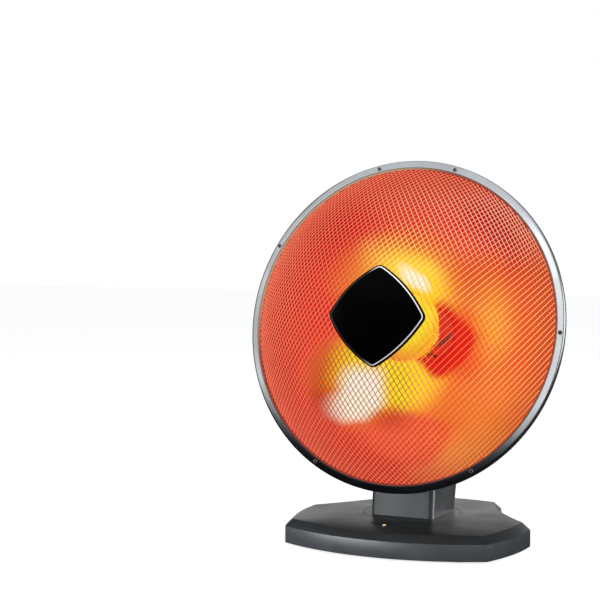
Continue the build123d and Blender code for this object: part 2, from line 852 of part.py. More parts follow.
with BuildPart() as tilt_bolt:
    with BuildSketch(tilt_plane.offset(-cheek_end - nut_height)):
        Circle(bolt_radius)
    extrude(amount=2 * cheek_end + nut_height)
    with BuildSketch(tilt_plane.offset(cheek_end)):
        Circle(bolt_head_radius)
    extrude(amount=bolt_head_height)
    fillet(tilt_bolt.edges().group_by(Axis.X)[-1], bolt_head_height / 4)
finish(tilt_bolt.part, "tilt_bolt")

with BuildPart() as tilt_nut:
    with BuildSketch(tilt_plane.offset(-cheek_end)):
        RegularPolygon(nut_width / 2, 6, major_radius=False)
        Circle(bolt_radius + screw_fit, mode=Mode.SUBTRACT)
    extrude(amount=-nut_height)
finish(tilt_nut.part, "tilt_nut")

# ---------------------------------------------------------------- head: dish
def dish_line(shift, start_radius, end_radius):
    """The dish's curve as a control polygon, moved along the axis by the shift."""
    base = hub_front + shift - dish_curve * dish_hub_radius**2
    start = (start_radius, base + dish_curve * start_radius**2)
    end = (end_radius, base + dish_curve * end_radius**2)
    rise = 2 * dish_curve * start_radius * (end_radius - start_radius) / 2
    middle = ((start_radius + end_radius) / 2, start[1] + rise)
    return start, middle, end


rivet_spots = clock_spots(rivet_circle, rivet_angles)
ring_screw_spots = clock_spots(ring_screw_circle, ring_screw_angles)

with BuildPart() as reflector:
    with BuildSketch(head_section):
        with BuildLine():
            front_line = dish_line(0, dish_hub_radius, dish_mouth_radius)
            back_line = dish_line(-dish_sheet, dish_hub_radius, dish_mouth_radius)
            Polyline((dish_hole_radius, hub_front), front_line[0])
            Bezier(*front_line)
            Polyline(
                front_line[2],
                (flange_radius, flange_front),
                (flange_radius, flange_front - dish_sheet),
                back_line[2],
            )
            Bezier(*back_line)
            Polyline(
                back_line[0],
                (dish_hole_radius, hub_back),
                (dish_hole_radius, hub_front),
            )
        make_face()
    revolve(axis=head_axis)
    with BuildSketch(head.offset(flange_front)):
        with Locations(*ring_screw_spots):
            Circle(ring_screw_radius + loose_fit / 2)
    extrude(amount=-2 * dish_sheet, mode=Mode.SUBTRACT)
    with BuildSketch(head.offset(hub_front)):
        with Locations(*rivet_spots):
            Circle(rivet_radius + screw_fit)
    extrude(amount=-2 * dish_sheet, mode=Mode.SUBTRACT)
finish(reflector.part, "reflector")

with BuildPart() as trim_ring:
    with BuildSketch(head_section):
        with BuildLine():
            edge_radius = 2 * ring_sheet
            shoulder = ring_radius - edge_radius
            bend = edge_radius * (1 - cos(pi / 4))
            Polyline((ring_inner_radius, -ring_sheet), (ring_inner_radius, 0))
            ThreePointArc(
                (ring_inner_radius, 0),
                ((ring_inner_radius + shoulder) / 2, ring_crown),
                (shoulder, 0),
            )
            ThreePointArc(
                (shoulder, 0),
                (ring_radius - bend, -bend),
                (ring_radius, -edge_radius),
            )
            Polyline(
                (ring_radius, -edge_radius),
                (ring_radius, -ring_skirt),
                (ring_radius - ring_sheet, -ring_skirt),
                (ring_radius - ring_sheet, -ring_sheet),
                (ring_inner_radius, -ring_sheet),
            )
        make_face()
    revolve(axis=head_axis)
    with BuildSketch(head.offset(-ring_sheet)):
        with Locations(*ring_screw_spots):
            Circle(ring_screw_radius + loose_fit / 2)
    extrude(amount=2 * ring_sheet + ring_crown, mode=Mode.SUBTRACT)
    with BuildSketch(head):
        with Locations(*ring_screw_spots):
            Circle(ring_screw_head + loose_fit / 2)
    extrude(amount=2 * ring_crown, mode=Mode.SUBTRACT)
finish(trim_ring.part, "trim_ring")

with BuildPart() as guard_rim:
    with BuildSketch(head.offset(flange_front)):
        Circle(flange_radius)
        Circle(guard_rim_inner, mode=Mode.SUBTRACT)
        with Locations(*ring_screw_spots):
            Circle(ring_screw_radius + loose_fit / 2, mode=Mode.SUBTRACT)
    extrude(amount=guard_rim_thickness)
finish(guard_rim.part, "guard_rim")

flange_back = flange_front - dish_sheet

with BuildPart() as ring_screws:
    with BuildSketch(head):
        with Locations(*ring_screw_spots):
            Circle(ring_screw_head)
    extrude(amount=ring_screw_dome)
    fillet(ring_screws.edges().group_by(head_axis)[-1], ring_screw_dome / 2)
    with BuildSketch(head):
        with Locations(*ring_screw_spots):
            Circle(ring_screw_radius)
    extrude(amount=flange_back - ring_nut_height)
finish(ring_screws.part, "ring_screws")

with BuildPart() as ring_nuts:
    with BuildSketch(head.offset(flange_back)):
        with Locations(*ring_screw_spots):
            RegularPolygon(ring_nut_width / 2, 6, major_radius=False)
        with Locations(*ring_screw_spots):
            Circle(ring_screw_radius + screw_fit, mode=Mode.SUBTRACT)
    extrude(amount=-ring_nut_height)
finish(ring_nuts.part, "ring_nuts")


# ---------------------------------------------------------------- head: guard
def make_wire(sphere_radius, direction, across):
    """One wire: an arc over the dome, the distance across from its middle line."""
    turn = radians(direction)
    along = head.x_dir * cos(turn) + head_up * sin(turn)
    sideways = head_up * cos(turn) - head.x_dir * sin(turn)
    centre = sphere_centre + sideways * across
    bend = sqrt(sphere_radius**2 - across**2)
    half_turn = asin(sqrt(sphere_radius**2 - end_drop**2 - across**2) / bend)
    start = centre - along * (bend * sin(half_turn)) + head_forward * (bend * cos(half_turn))
    heading = along * cos(half_turn) + head_forward * sin(half_turn)
    with BuildPart() as wire:
        with BuildSketch(Plane(start, z_dir=heading)):
            Circle(wire_radius)
        revolve(axis=Axis(centre, sideways), revolution_arc=degrees(2 * half_turn))
    return wire.part


end_drop = wire_end_level - sphere_level
wires_each_side = int((wire_end_radius - wire_pitch / 4) / wire_pitch + 0.5)
wire_places = [(i + 0.5) * wire_pitch for i in range(-wires_each_side, wires_each_side)]
wires = []
for layer_radius, layer_direction in zip(
    [outer_wire_sphere, inner_wire_sphere], wire_directions
):
    for place in wire_places:
        wires.append(make_wire(layer_radius, layer_direction, place))

with BuildPart() as guard_mesh:
    add(wires)
finish(guard_mesh.part, "guard_mesh")


# ---------------------------------------------------------------- head: badge
def badge_outline(inset):
    """The rounded diamond, where four large discs meet, drawn in by the inset."""
    half_side = badge_reach / sqrt(2)
    side_radius = (half_side**2 + badge_bulge**2) / (2 * badge_bulge)
    off = (side_radius - badge_bulge - half_side) / sqrt(2)
    with BuildSketch() as outline:
        Rectangle(3 * badge_reach, 3 * badge_reach)
        for x, y in [(-off, -off), (off, -off), (off, off), (-off, off)]:
            with Locations((x, y)):
                Circle(side_radius - inset, mode=Mode.INTERSECT)
        fillet(outline.vertices(), badge_point_radius - inset)
    return outline.sketch


plate_outline = badge_outline(0)
inlay_outer = badge_outline(badge_inlay_inset)
inlay_inner = badge_outline(badge_inlay_inset + badge_inlay_width)
dome_top = sphere_level + outer_wire_sphere
badge_low = dome_top - badge_reach / 4
clamp_front = sphere_level + inner_wire_sphere - wire_radius - 2 * loose_fit

with BuildPart() as badge_plate:
    with BuildSketch(head.offset(badge_low)):
        add(plate_outline)
    extrude(amount=badge_reach)
    with Locations(sphere_centre):
        Sphere(badge_front_sphere, mode=Mode.INTERSECT)
        Sphere(badge_back_sphere, mode=Mode.SUBTRACT)
    with BuildSketch(head.offset(clamp_front)):
        Circle(badge_boss_radius)
    extrude(amount=dome_top + badge_thickness - clamp_front)
    with BuildSketch(head.offset(clamp_front)):
        Circle(badge_screw_radius + screw_fit)
    extrude(amount=dome_top + badge_thickness / 2 - clamp_front, mode=Mode.SUBTRACT)
finish(badge_plate.part, "badge_plate")

with BuildPart() as badge_inlay:
    with BuildSketch(head.offset(badge_low)):
        add(inlay_outer)
        add(inlay_inner, mode=Mode.SUBTRACT)
    extrude(amount=badge_reach)
    with Locations(sphere_centre):
        Sphere(inlay_front_sphere, mode=Mode.INTERSECT)
        Sphere(badge_front_sphere + screw_fit, mode=Mode.SUBTRACT)
finish(badge_inlay.part, "badge_inlay")

with BuildPart() as badge_clamp:
    with BuildSketch(head.offset(clamp_front)):
        Circle(clamp_radius)
        Circle(badge_screw_radius + loose_fit / 2, mode=Mode.SUBTRACT)
    extrude(amount=-clamp_thickness)
finish(badge_clamp.part, "badge_clamp")

with BuildPart() as badge_screw:
    with BuildSketch(head.offset(clamp_front - clamp_thickness)):
        Circle(badge_screw_head)
    extrude(amount=-badge_screw_head_height)
    with BuildSketch(head.offset(clamp_front - clamp_thickness)):
        Circle(badge_screw_radius)
    extrude(amount=dome_top - clamp_front + clamp_thickness)
finish(badge_screw.part, "badge_screw")

# ---------------------------------------------------------------- head: element
element_front = hub_front + element_flange_thickness
element_back = hub_front - element_tail

with BuildPart() as element_base:
    with BuildSketch(head.offset(hub_front)):
        Circle(element_flange_radius)
    extrude(amount=element_flange_thickness)
    with BuildSketch(head.offset(hub_front)):
        Circle(dish_hole_radius - loose_fit)
    extrude(amount=-element_tail)
    fillet(
        element_base.edges().group_by(head_axis)[-1],
        element_flange_thickness / 3,
    )
finish(element_base.part, "element_base")

with BuildPart() as element_core:
    with BuildSketch(head_section):
        Polygon(
            (0, element_front),
            (core_radius, element_front),
            (core_radius, element_front + core_reach - core_tip_radius),
            (core_tip_radius, element_front + core_reach),
            (0, element_front + core_reach),
            align=None,
        )
    revolve(axis=head_axis)
finish(element_core.part, "element_core")

with BuildPart() as heating_coil:
    with BuildSketch(head_section):
        for turn in range(coil_turns):
            place = element_front + coil_start + turn * coil_pitch
            with Locations((core_radius + coil_gap + coil_wire_radius, place)):
                Circle(coil_wire_radius)
    revolve(axis=head_axis)
finish(heating_coil.part, "heating_coil")

with BuildPart() as element_pins:
    with BuildSketch(head.offset(element_back)):
        with GridLocations(pin_spacing, 1, 2, 1):
            Circle(pin_radius)
    extrude(amount=-pin_length)
finish(element_pins.part, "element_pins")

cap_inside = cap_front - cap_sheet
cap_inner_radius = cap_radius - cap_sheet
cap_inner_edge = cap_edge_radius - cap_sheet
turn_45 = 1 - cos(pi / 4)

with BuildPart() as front_cap:
    with BuildSketch(head_section):
        with BuildLine():
            Polyline((0, cap_inside), (0, cap_front), (cap_radius - cap_edge_radius, cap_front))
            ThreePointArc(
                (cap_radius - cap_edge_radius, cap_front),
                (cap_radius - cap_edge_radius * turn_45, cap_front - cap_edge_radius * turn_45),
                (cap_radius, cap_front - cap_edge_radius),
            )
            Polyline(
                (cap_radius, cap_front - cap_edge_radius),
                (cap_radius, cap_front - cap_depth),
                (cap_inner_radius, cap_front - cap_depth),
                (cap_inner_radius, cap_inside - cap_inner_edge),
            )
            ThreePointArc(
                (cap_inner_radius, cap_inside - cap_inner_edge),
                (
                    cap_inner_radius - cap_inner_edge * turn_45,
                    cap_inside - cap_inner_edge * turn_45,
                ),
                (cap_inner_radius - cap_inner_edge, cap_inside),
            )
            Polyline((cap_inner_radius - cap_inner_edge, cap_inside), (0, cap_inside))
        make_face()
    revolve(axis=head_axis)
finish(front_cap.part, "front_cap")

with BuildPart() as cap_rods:
    with BuildSketch(head.offset(element_front)):
        with Locations(*clock_spots(cap_rod_circle, cap_rod_angles)):
            Circle(cap_rod_radius)
    extrude(amount=cap_inside - element_front)
finish(cap_rods.part, "cap_rods")

# ---------------------------------------------------------------- head: carrier
housing_screw_spots = clock_spots(housing_boss_circle, housing_screw_angles)
knuckle_offset = Vector(0, axis_y + tilt_y, tilt_z) - head_origin
knuckle_drop = -knuckle_offset.dot(head_up)

with BuildPart() as tilt_arm:
    with BuildSketch(head.offset(arm_back)):
        Circle(arm_radius)
        with Locations((0, -knuckle_drop / 2)):
            Rectangle(2 * arm_half_width, knuckle_drop)
        Circle(arm_hole_radius, mode=Mode.SUBTRACT)
        with Locations(*rivet_spots):
            Circle(rivet_radius + screw_fit, mode=Mode.SUBTRACT)
        with Locations(*housing_screw_spots):
            Circle(housing_screw_radius + screw_fit, mode=Mode.SUBTRACT)
    extrude(amount=arm_thickness)
    with BuildSketch(tilt_plane):
        Circle(knuckle_radius)
    extrude(amount=knuckle_half_width, both=True)
    with BuildSketch(tilt_plane):
        Circle(bolt_radius + running_fit)
    extrude(amount=knuckle_half_width, both=True, mode=Mode.SUBTRACT)
finish(tilt_arm.part, "tilt_arm")

with BuildPart() as hub_rivets:
    with BuildSketch(head.offset(arm_back)):
        with Locations(*rivet_spots):
            Circle(rivet_radius)
    extrude(amount=hub_front - arm_back)
    with BuildSketch(head.offset(hub_front)):
        with Locations(*rivet_spots):
            Circle(rivet_head_radius)
    extrude(amount=rivet_head_height)
    with BuildSketch(head.offset(arm_back)):
        with Locations(*rivet_spots):
            Circle(rivet_head_radius)
    extrude(amount=-rivet_head_height)
finish(hub_rivets.part, "hub_rivets")

with BuildPart() as thermal_cutout:
    with BuildSketch(head.offset(arm_back)):
        with Locations((0, -cutout_place)):
            Circle(cutout_radius)
    extrude(amount=-cutout_height)
    chamfer(
        thermal_cutout.edges().group_by(head_axis)[0],
        cutout_height / 6,
    )
finish(thermal_cutout.part, "thermal_cutout")

# ---------------------------------------------------------------- head: housing
tail_back = arm_back - housing_tail_depth
housing_front = hub_back + housing_radius**2 * dish_curve


def housing_block(inset):
    """The housing's round body and its tail, drawn in all round by the inset."""
    width = 2 * (housing_tail_half_width - inset)
    length = housing_tail_reach - inset
    with BuildPart() as block:
        with BuildSketch(head.offset(housing_back + inset)):
            Circle(housing_radius - inset)
        extrude(amount=housing_front - housing_back - inset)
        fillet(block.edges().group_by(head_axis)[0], housing_edge_radius - inset)
        with BuildSketch(head.offset(tail_back + inset)):
            with Locations((0, -length / 2)):
                Rectangle(width, length)
        extrude(amount=housing_front - tail_back - inset)
    return block.part


with BuildPart() as rear_housing:
    add(housing_block(0))
    add(housing_block(wall), mode=Mode.SUBTRACT)
    # the way out for the arm
    with BuildSketch(head.offset(arm_back - 2 * loose_fit)):
        with Locations((0, -housing_tail_reach)):
            Rectangle(2 * (arm_half_width + 2 * loose_fit), 4 * wall)
    extrude(amount=housing_front - arm_back + wall, mode=Mode.SUBTRACT)
    # the front edge follows the back of the dish
    with BuildSketch(head_section):
        with BuildLine():
            envelope = dish_line(-dish_sheet - loose_fit, dish_hub_radius, dish_mouth_radius)
            Bezier(*envelope)
            Polyline(
                envelope[2],
                (0, envelope[2][1]),
                (0, envelope[0][1]),
                envelope[0],
            )
        make_face()
    revolve(axis=head_axis, mode=Mode.SUBTRACT)
    # screw bosses, each with a well for its screw head
    with BuildSketch(head.offset(housing_back + wall / 2)):
        with Locations(*housing_screw_spots):
            Circle(housing_boss_radius)
    extrude(amount=housing_depth - wall / 2)
    with BuildSketch(head.offset(housing_back)):
        with Locations(*housing_screw_spots):
            Circle(housing_screw_head + loose_fit)
    extrude(amount=housing_screw_well, mode=Mode.SUBTRACT)
    with BuildSketch(head.offset(housing_back)):
        with Locations(*housing_screw_spots):
            Circle(housing_screw_radius + loose_fit / 2)
    extrude(amount=housing_depth, mode=Mode.SUBTRACT)
    # vents
    with BuildSketch(head.offset(housing_back)):
        with GridLocations(vent_pitch, 1, vent_count, 1):
            SlotOverall(vent_length, vent_width, rotation=90)
    extrude(amount=wall, mode=Mode.SUBTRACT)
finish(rear_housing.part, "rear_housing")

with BuildPart() as housing_screws:
    screw_seat = housing_back + housing_screw_well
    with BuildSketch(head.offset(screw_seat)):
        with Locations(*housing_screw_spots):
            Circle(housing_screw_head)
    extrude(amount=-housing_screw_head / 2)
    with BuildSketch(head.offset(screw_seat)):
        with Locations(*housing_screw_spots):
            Circle(housing_screw_radius)
    extrude(amount=hub_back - screw_seat)
finish(housing_screws.part, "housing_screws")
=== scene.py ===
# %% [markdown]
# # A parabolic heater in Blender
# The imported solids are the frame: every piece below takes its place from their numbers and rides
# on their bodies. Lengths are metres. What is measured in the dish's own axes is in millimetres.

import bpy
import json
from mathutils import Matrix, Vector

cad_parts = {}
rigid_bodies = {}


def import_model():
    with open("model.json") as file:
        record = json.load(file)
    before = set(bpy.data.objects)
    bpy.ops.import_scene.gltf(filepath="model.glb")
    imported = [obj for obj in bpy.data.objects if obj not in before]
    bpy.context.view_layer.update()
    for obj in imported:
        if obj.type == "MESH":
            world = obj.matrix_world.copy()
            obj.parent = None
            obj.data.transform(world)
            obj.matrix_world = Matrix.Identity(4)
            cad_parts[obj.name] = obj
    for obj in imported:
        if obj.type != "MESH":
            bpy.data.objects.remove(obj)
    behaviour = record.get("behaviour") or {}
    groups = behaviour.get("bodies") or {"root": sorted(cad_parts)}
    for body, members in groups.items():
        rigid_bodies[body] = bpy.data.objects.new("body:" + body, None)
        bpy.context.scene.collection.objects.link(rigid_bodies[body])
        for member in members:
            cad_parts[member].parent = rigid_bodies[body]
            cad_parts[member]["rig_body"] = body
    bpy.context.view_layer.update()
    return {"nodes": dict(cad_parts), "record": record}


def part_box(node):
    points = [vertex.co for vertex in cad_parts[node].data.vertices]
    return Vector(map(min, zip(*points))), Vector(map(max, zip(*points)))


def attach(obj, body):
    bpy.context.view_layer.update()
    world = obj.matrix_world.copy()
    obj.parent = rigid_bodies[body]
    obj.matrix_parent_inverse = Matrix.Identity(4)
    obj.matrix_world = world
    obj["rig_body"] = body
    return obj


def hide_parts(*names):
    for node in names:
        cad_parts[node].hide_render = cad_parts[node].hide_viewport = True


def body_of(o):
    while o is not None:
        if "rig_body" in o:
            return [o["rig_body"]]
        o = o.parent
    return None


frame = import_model()

import json
from math import cos, pi, radians, sin, sqrt

import bmesh
import bpy
from mathutils import Euler, Matrix, Vector

scene = bpy.context.scene
nodes = frame["nodes"]

# %% [markdown]
# ## The dish's axes
# The real dish leans back on its tilt joint, so its round pieces are awkward to describe upright.
# They are measured in axes of their own: x to the right, y up the dish's face and z forward along
# its axis, from the middle of the trim ring's front edge. Two functions change between these axes
# and the frame, which is simpler than turning each finished piece.

# %% The dish's axes
DISH_TILT = radians(11)
HEAD_ORIGIN = Vector((0, -0.045945, 0.2434))
HEAD_TURN = Euler((pi / 2 - DISH_TILT, 0, 0)).to_matrix()
HEAD_BACK = HEAD_TURN.inverted()
DISH_AXIS = HEAD_TURN @ Vector((0, 0, 1))


def head_point(x, y, z):
    """A point in the dish's axes, in millimetres, as a point in the frame."""
    return HEAD_ORIGIN + HEAD_TURN @ (Vector((x, y, z)) / 1000)


def in_head(point):
    """A point of the frame as a point in the dish's axes, in millimetres."""
    return HEAD_BACK @ (point - HEAD_ORIGIN) * 1000


print("dish centre:", tuple(round(v, 4) for v in head_point(0, 0, 0)))

# %% [markdown]
# ## Camera
# It stands to the right of the heater and a little above its middle. A short lens close by would
# stretch the round dish, so a long lens looks from further away.

# %% Camera
LENS, SENSOR = 93.8, 36
CAMERA_PLACE = (0.65012, -1.628585, 0.35106)
CAMERA_PITCH, CAMERA_HEADING = 87.3, 26.04

camera = bpy.data.objects.new("camera", bpy.data.cameras.new("camera"))
camera.data.lens = LENS
camera.data.sensor_width = SENSOR
camera.location = CAMERA_PLACE
camera.rotation_euler = (radians(CAMERA_PITCH), 0, radians(CAMERA_HEADING))
scene.collection.objects.link(camera)
scene.camera = camera
scene.view_settings.view_transform = "Standard"
print("lens:", camera.data.lens)

# %% [markdown]
# ## Node trees as nested calls
# Materials, geometry and the world are all node trees. They could be laid out by hand in the
# editor. Here each call adds one node and gives back its output socket, so a tree reads like a
# formula, from the inside out.

# %% Colours
def srgb(red, green, blue):
    """A screen colour, 0 to 255, as the linear colour that shaders work with."""
    parts = [v / 255 for v in (red, green, blue)]
    return [p / 12.92 if p < 0.04045 else ((p + 0.055) / 1.055) ** 2.4 for p in parts] + [1]


print("middle grey:", round(srgb(128, 128, 128)[0], 3))


# %% Node trees
class Tree:
    """A node tree that is built call by call."""

    def __init__(self, tree):
        self.tree = tree
        tree.nodes.clear()

    def add(self, kind, inputs=None, output=0, **settings):
        """One node. inputs maps a socket's name or number to a value or to another socket."""
        made = self.tree.nodes.new(kind if "Node" in kind else "ShaderNode" + kind)
        for key, value in settings.items():
            setattr(made, key, value)
        for key, value in (inputs or {}).items():
            if isinstance(value, bpy.types.NodeSocket):
                self.tree.links.new(value, made.inputs[key])
            else:
                made.inputs[key].default_value = value
        return made.outputs[output]

    def math(self, operation, *values):
        return self.add("Math", dict(enumerate(values)), operation=operation)

    def parts(self, vector):
        """The parts of a vector, by the names X, Y and Z."""
        return self.add("SeparateXYZ", {0: vector}).node.outputs

    def end(self, kind, result):
        """The output node, which takes the result."""
        self.tree.links.new(result, self.tree.nodes.new(kind).inputs[0])


# %% Shader calls
class Shader(Tree):
    """A material that is built call by call."""

    def __init__(self, name):
        self.material = bpy.data.materials.new(name)
        self.material.use_nodes = True
        super().__init__(self.material.node_tree)

    def attribute(self, name):
        return self.add("Attribute", {}, "Vector", attribute_name=name)

    def stretch(self, vector, scale):
        return self.add("Mapping", {"Vector": vector, "Scale": scale})

    def noise(self, vector, scale, detail, roughness, output=0):
        inputs = {"Vector": vector, "Scale": scale, "Detail": detail, "Roughness": roughness}
        return self.add("TexNoise", inputs, output)

    def cloud(self, scale, detail=3, roughness=0.5):
        """Noise by the piece's own place, in metres."""
        return self.noise(self.add("TexCoord", {}, "Object"), scale, detail, roughness)

    def remap(self, value, low, high, to_low=0, to_high=1, smooth=False):
        inputs = {0: value, 1: low, 2: high, 3: to_low, 4: to_high}
        return self.add("MapRange", inputs, interpolation_type="SMOOTHSTEP" if smooth else "LINEAR")

    def spread(self, noise, low=0, high=1):
        """Noise, which mostly lies between 0.3 and 0.7, as a value from low to high."""
        return self.remap(noise, 0.3, 0.7, low, high)

    def mix(self, factor, first, second):
        inputs = {0: factor, 6: first, 7: second}
        return self.add("Mix", inputs, 2, data_type="RGBA")

    def bump(self, height, strength, distance):
        return self.add("Bump", {"Height": height, "Strength": strength, "Distance": distance})

    def principled(self, **inputs):
        named = {key.replace("_", " "): value for key, value in inputs.items()}
        return self.add("BsdfPrincipled", named)

    def finish(self, surface):
        self.end("ShaderNodeOutputMaterial", surface)
        return self.material


# %% [markdown]
# ## Finishes that any piece can take
# Moulded plastic isn't one colour: a spark-eroded mould leaves a fine grain, the gloss is cloudy
# and a little dust lies on it. Plated steel shows the lines of its drawing. Both could be image
# textures, but noise by the piece's own place has no seams and the same grain size on every piece.

# %% Moulded plastic and plated steel
def moulded(name, colour, rough, grain=1.0, scuff=0.3, grain_scale=1500, haze=1.0):
    """Moulded plastic: a fine spark-eroded grain, cloudy gloss and a little dust."""
    sh = Shader(name)
    cloud = sh.cloud(22)
    dust = sh.remap(sh.cloud(420, 2, 0.7), 0.62, 0.8)
    light = [min(1, c * 2.2 + 0.012 * haze) for c in colour[:3]] + [1]
    shade = sh.mix(sh.remap(cloud, 0.3, 0.75, 0, 0.28), colour, light)
    shade = sh.mix(sh.math("MULTIPLY", dust, 0.25 * scuff), shade, srgb(120, 120, 122))
    gloss = sh.remap(cloud, 0.25, 0.8, rough - 0.05, rough + 0.09)
    normal = sh.bump(sh.cloud(grain_scale, 2, 0.6), 0.25 * grain, 0.0002)
    return sh.finish(sh.principled(Base_Color=shade, Roughness=gloss, Normal=normal))


def drawn_metal(name, colour, tint, rough):
    """Plated metal: drawing lines along one way, and clouds of a second colour in its polish."""
    sh = Shader(name)
    place = sh.add("TexCoord", {}, "Object")
    streak = sh.noise(sh.stretch(place, (1, 1, 6)), 300, 3, 0.6)
    shade = sh.mix(sh.remap(sh.cloud(35, 3, 0.55), 0.35, 0.8, 0, 0.5), colour, tint)
    gloss = sh.remap(streak, 0.2, 0.8, rough - 0.06, rough + 0.12)
    normal = sh.bump(streak, 0.15, 0.0001)
    return sh.finish(sh.principled(Base_Color=shade, Metallic=1, Roughness=gloss, Normal=normal))


# %% Plain finishes
STEEL, STEEL_TINT = srgb(196, 196, 192), srgb(168, 160, 140)
MOULDED = [
    # name, colour, roughness, and where they differ from the usual: grain, scuff, grain scale, haze
    ("satin_black_plastic", srgb(30, 32, 34), 0.33),
    # A lighter copy of the black plastic for the base's walls: painted light.
    ("satin_black_wall", srgb(55, 58, 62), 0.36, 1.2, 0.3, 1300, 0.4),
    ("black_rubber", srgb(22, 22, 22), 0.72, 1.6, 0.8, 900),
    ("natural_plastic", srgb(214, 208, 190), 0.45, 0.6, 0.2),
    ("dark_phenolic", srgb(44, 30, 24), 0.38, 0.5, 0.3, 700),
    ("white_ceramic", srgb(226, 220, 208), 0.4, 0.8, 0.2, 800),
    ("lamp_glass", srgb(250, 190, 120), 0.12, 0.1, 0.1),
    ("black_steel", srgb(28, 28, 30), 0.42, 1.3, 0.4, 650),
]
FINISH = {row[0]: moulded(*row) for row in MOULDED}
FINISH["plated_steel"] = drawn_metal("plated_steel", STEEL, STEEL_TINT, 0.26)
print("finishes:", len(FINISH))

# %% [markdown]
# ## The painted glow
# On the real heater the bright dish mirrors its element: red at the rim, orange to the right,
# yellow and white close by. Real reflections in a bowl of this kind take many samples and still
# come out noisy. So this reflection is painted: painted light laid on as soft brush strokes over
# each other, each one an ellipse in the dish's axes. The painted strokes belong to the metal, and
# stay on it from every side.

# %% Strokes on the dish
# Colours of the dish's painted reflection of its element.
RED = srgb(206, 40, 30)
YELLOW = srgb(250, 214, 44)
PALE = srgb(255, 250, 226)

DISH_PAINTED_REFLECTION_STROKES = [
    # x, y, half width, half height, turn, inner edge, squareness, colour
    (120, -20, 140, 170, 0, 0.1, 2, srgb(222, 84, 34)),
    (0, 152, 130, 42, 0, 0.1, 2, srgb(212, 62, 38)),
    (-92, 108, 66, 44, 35, 0.1, 2, srgb(196, 18, 22)),
    (-138, 30, 46, 90, 0, 0.1, 2, srgb(204, 34, 30)),
    (92, 108, 76, 42, -40, 0.1, 2, srgb(176, 24, 26)),
    (90, -84, 118, 76, -12, 0.1, 2, srgb(226, 118, 42)),
    (70, -138, 84, 40, 20, 0.1, 2, srgb(231, 134, 56)),
    (-5, 50, 128, 92, 0, 0.15, 2, srgb(220, 96, 34)),
    (80, 12, 48, 66, 0, 0.1, 2, srgb(236, 150, 44)),
    (-30, 48, 92, 66, -12, 0.3, 2, srgb(240, 160, 38)),
    (-18, 60, 56, 38, -28, 0.3, 2, YELLOW),
    (-20, 62, 29, 13, -42, 0.3, 2, PALE),
    (-40, -56, 104, 76, -8, 0.4, 2, srgb(238, 136, 38)),
    (-40, -46, 76, 52, -12, 0.5, 2.6, YELLOW),
    (-69, -70, 33, 38, 4, 0.4, 3, srgb(255, 240, 224)),
    (-77, -90, 34, 24, 6, 0.35, 3, srgb(255, 240, 216)),
    (-2, -120, 60, 33, -14, 0.6, 3, srgb(220, 72, 44)),
    (-128, -120, 62, 50, 42, 0.2, 2, srgb(214, 40, 42)),
    (15, -7, 42, 42, -41, 0.72, 4, srgb(206, 20, 16)),
]
# A dark streak across the hub, painted into the seat's glow.
DARK_STREAK_STROKE = (20, -4, 15, 3.2, 50, 0.4, 3, srgb(84, 30, 36))
print("strokes on the dish:", len(DISH_PAINTED_REFLECTION_STROKES))

# %% Strokes on the guard's two layers
# Painted light and painted shade on the wires, from the glow that they mirror: pale at the upper
# right, dark brown at the lower left.
WIRE_PAINTED_LIGHT_STROKES = [
    (115, 5, 105, 125, 0, 0.3, 2, srgb(255, 196, 134)),
    (95, 105, 80, 52, 0, 0.3, 2, srgb(244, 150, 122)),
    (90, -118, 90, 46, 0, 0.3, 2, srgb(238, 150, 76)),
    (84, -24, 38, 48, 0, 0.6, 2, srgb(242, 116, 88)),
    (22, 62, 66, 48, -20, 0.3, 2, srgb(255, 226, 140)),
    (40, 4, 30, 56, 0, 0.6, 3, srgb(240, 196, 44)),
    (-18, -74, 74, 50, -8, 0.6, 3, srgb(96, 62, 30)),
]
INNER_WIRE_PAINTED_LIGHT_STROKES = [
    (112, -20, 100, 120, 0, 0.5, 2, srgb(222, 92, 40)),
    (66, 112, 124, 58, -12, 0.4, 2, srgb(255, 208, 178)),
    (104, 2, 22, 26, 0, 0.2, 2, srgb(196, 122, 40)),
    (84, -24, 38, 48, 0, 0.7, 2, srgb(204, 24, 20)),
    (22, 62, 66, 48, -20, 0.3, 2, srgb(252, 214, 104)),
    (40, 4, 30, 56, 0, 0.6, 3, srgb(220, 172, 24)),
    (-18, -74, 74, 50, -8, 0.6, 3, srgb(88, 56, 28)),
]
print("strokes on the wires:", len(WIRE_PAINTED_LIGHT_STROKES), len(INNER_WIRE_PAINTED_LIGHT_STROKES))

# %% Laying strokes
# Noise moves each place by some millimetres, so that the strokes' edges wander. A stroke reaches
# so far along the axis that depth doesn't count.
WANDER, WANDER_SCALE = 18, 0.02
ANY_DEPTH = 1e6


def painted_light_colour(sh, place, strokes, ground):
    """The painted light of the strokes over the ground, at a place in the dish's axes."""
    wander = sh.noise(place, WANDER_SCALE, 3, 0.5, "Color")
    wander = sh.add("VectorMath", {0: wander, 1: (0.5, 0.5, 0.5)}, operation="SUBTRACT")
    wander = sh.add("VectorMath", {0: wander, "Scale": WANDER}, operation="SCALE")
    place = sh.add("VectorMath", {0: place, 1: wander}, operation="ADD")
    colour = ground
    for x, y, half_width, half_height, turn, edge, square, shade in strokes:
        inputs = {
            "Vector": place,
            "Location": (x, y, 0),
            "Rotation": (0, 0, radians(turn)),
            "Scale": (half_width, half_height, ANY_DEPTH),
        }
        local = sh.parts(sh.add("Mapping", inputs, vector_type="TEXTURE"))
        sides = [sh.math("POWER", sh.math("ABSOLUTE", local[side]), square) for side in "XY"]
        far = sh.math("POWER", sh.math("ADD", *sides), 1 / square)
        colour = sh.mix(sh.remap(far, edge, 1, 1, 0, smooth=True), colour, shade)
    return colour
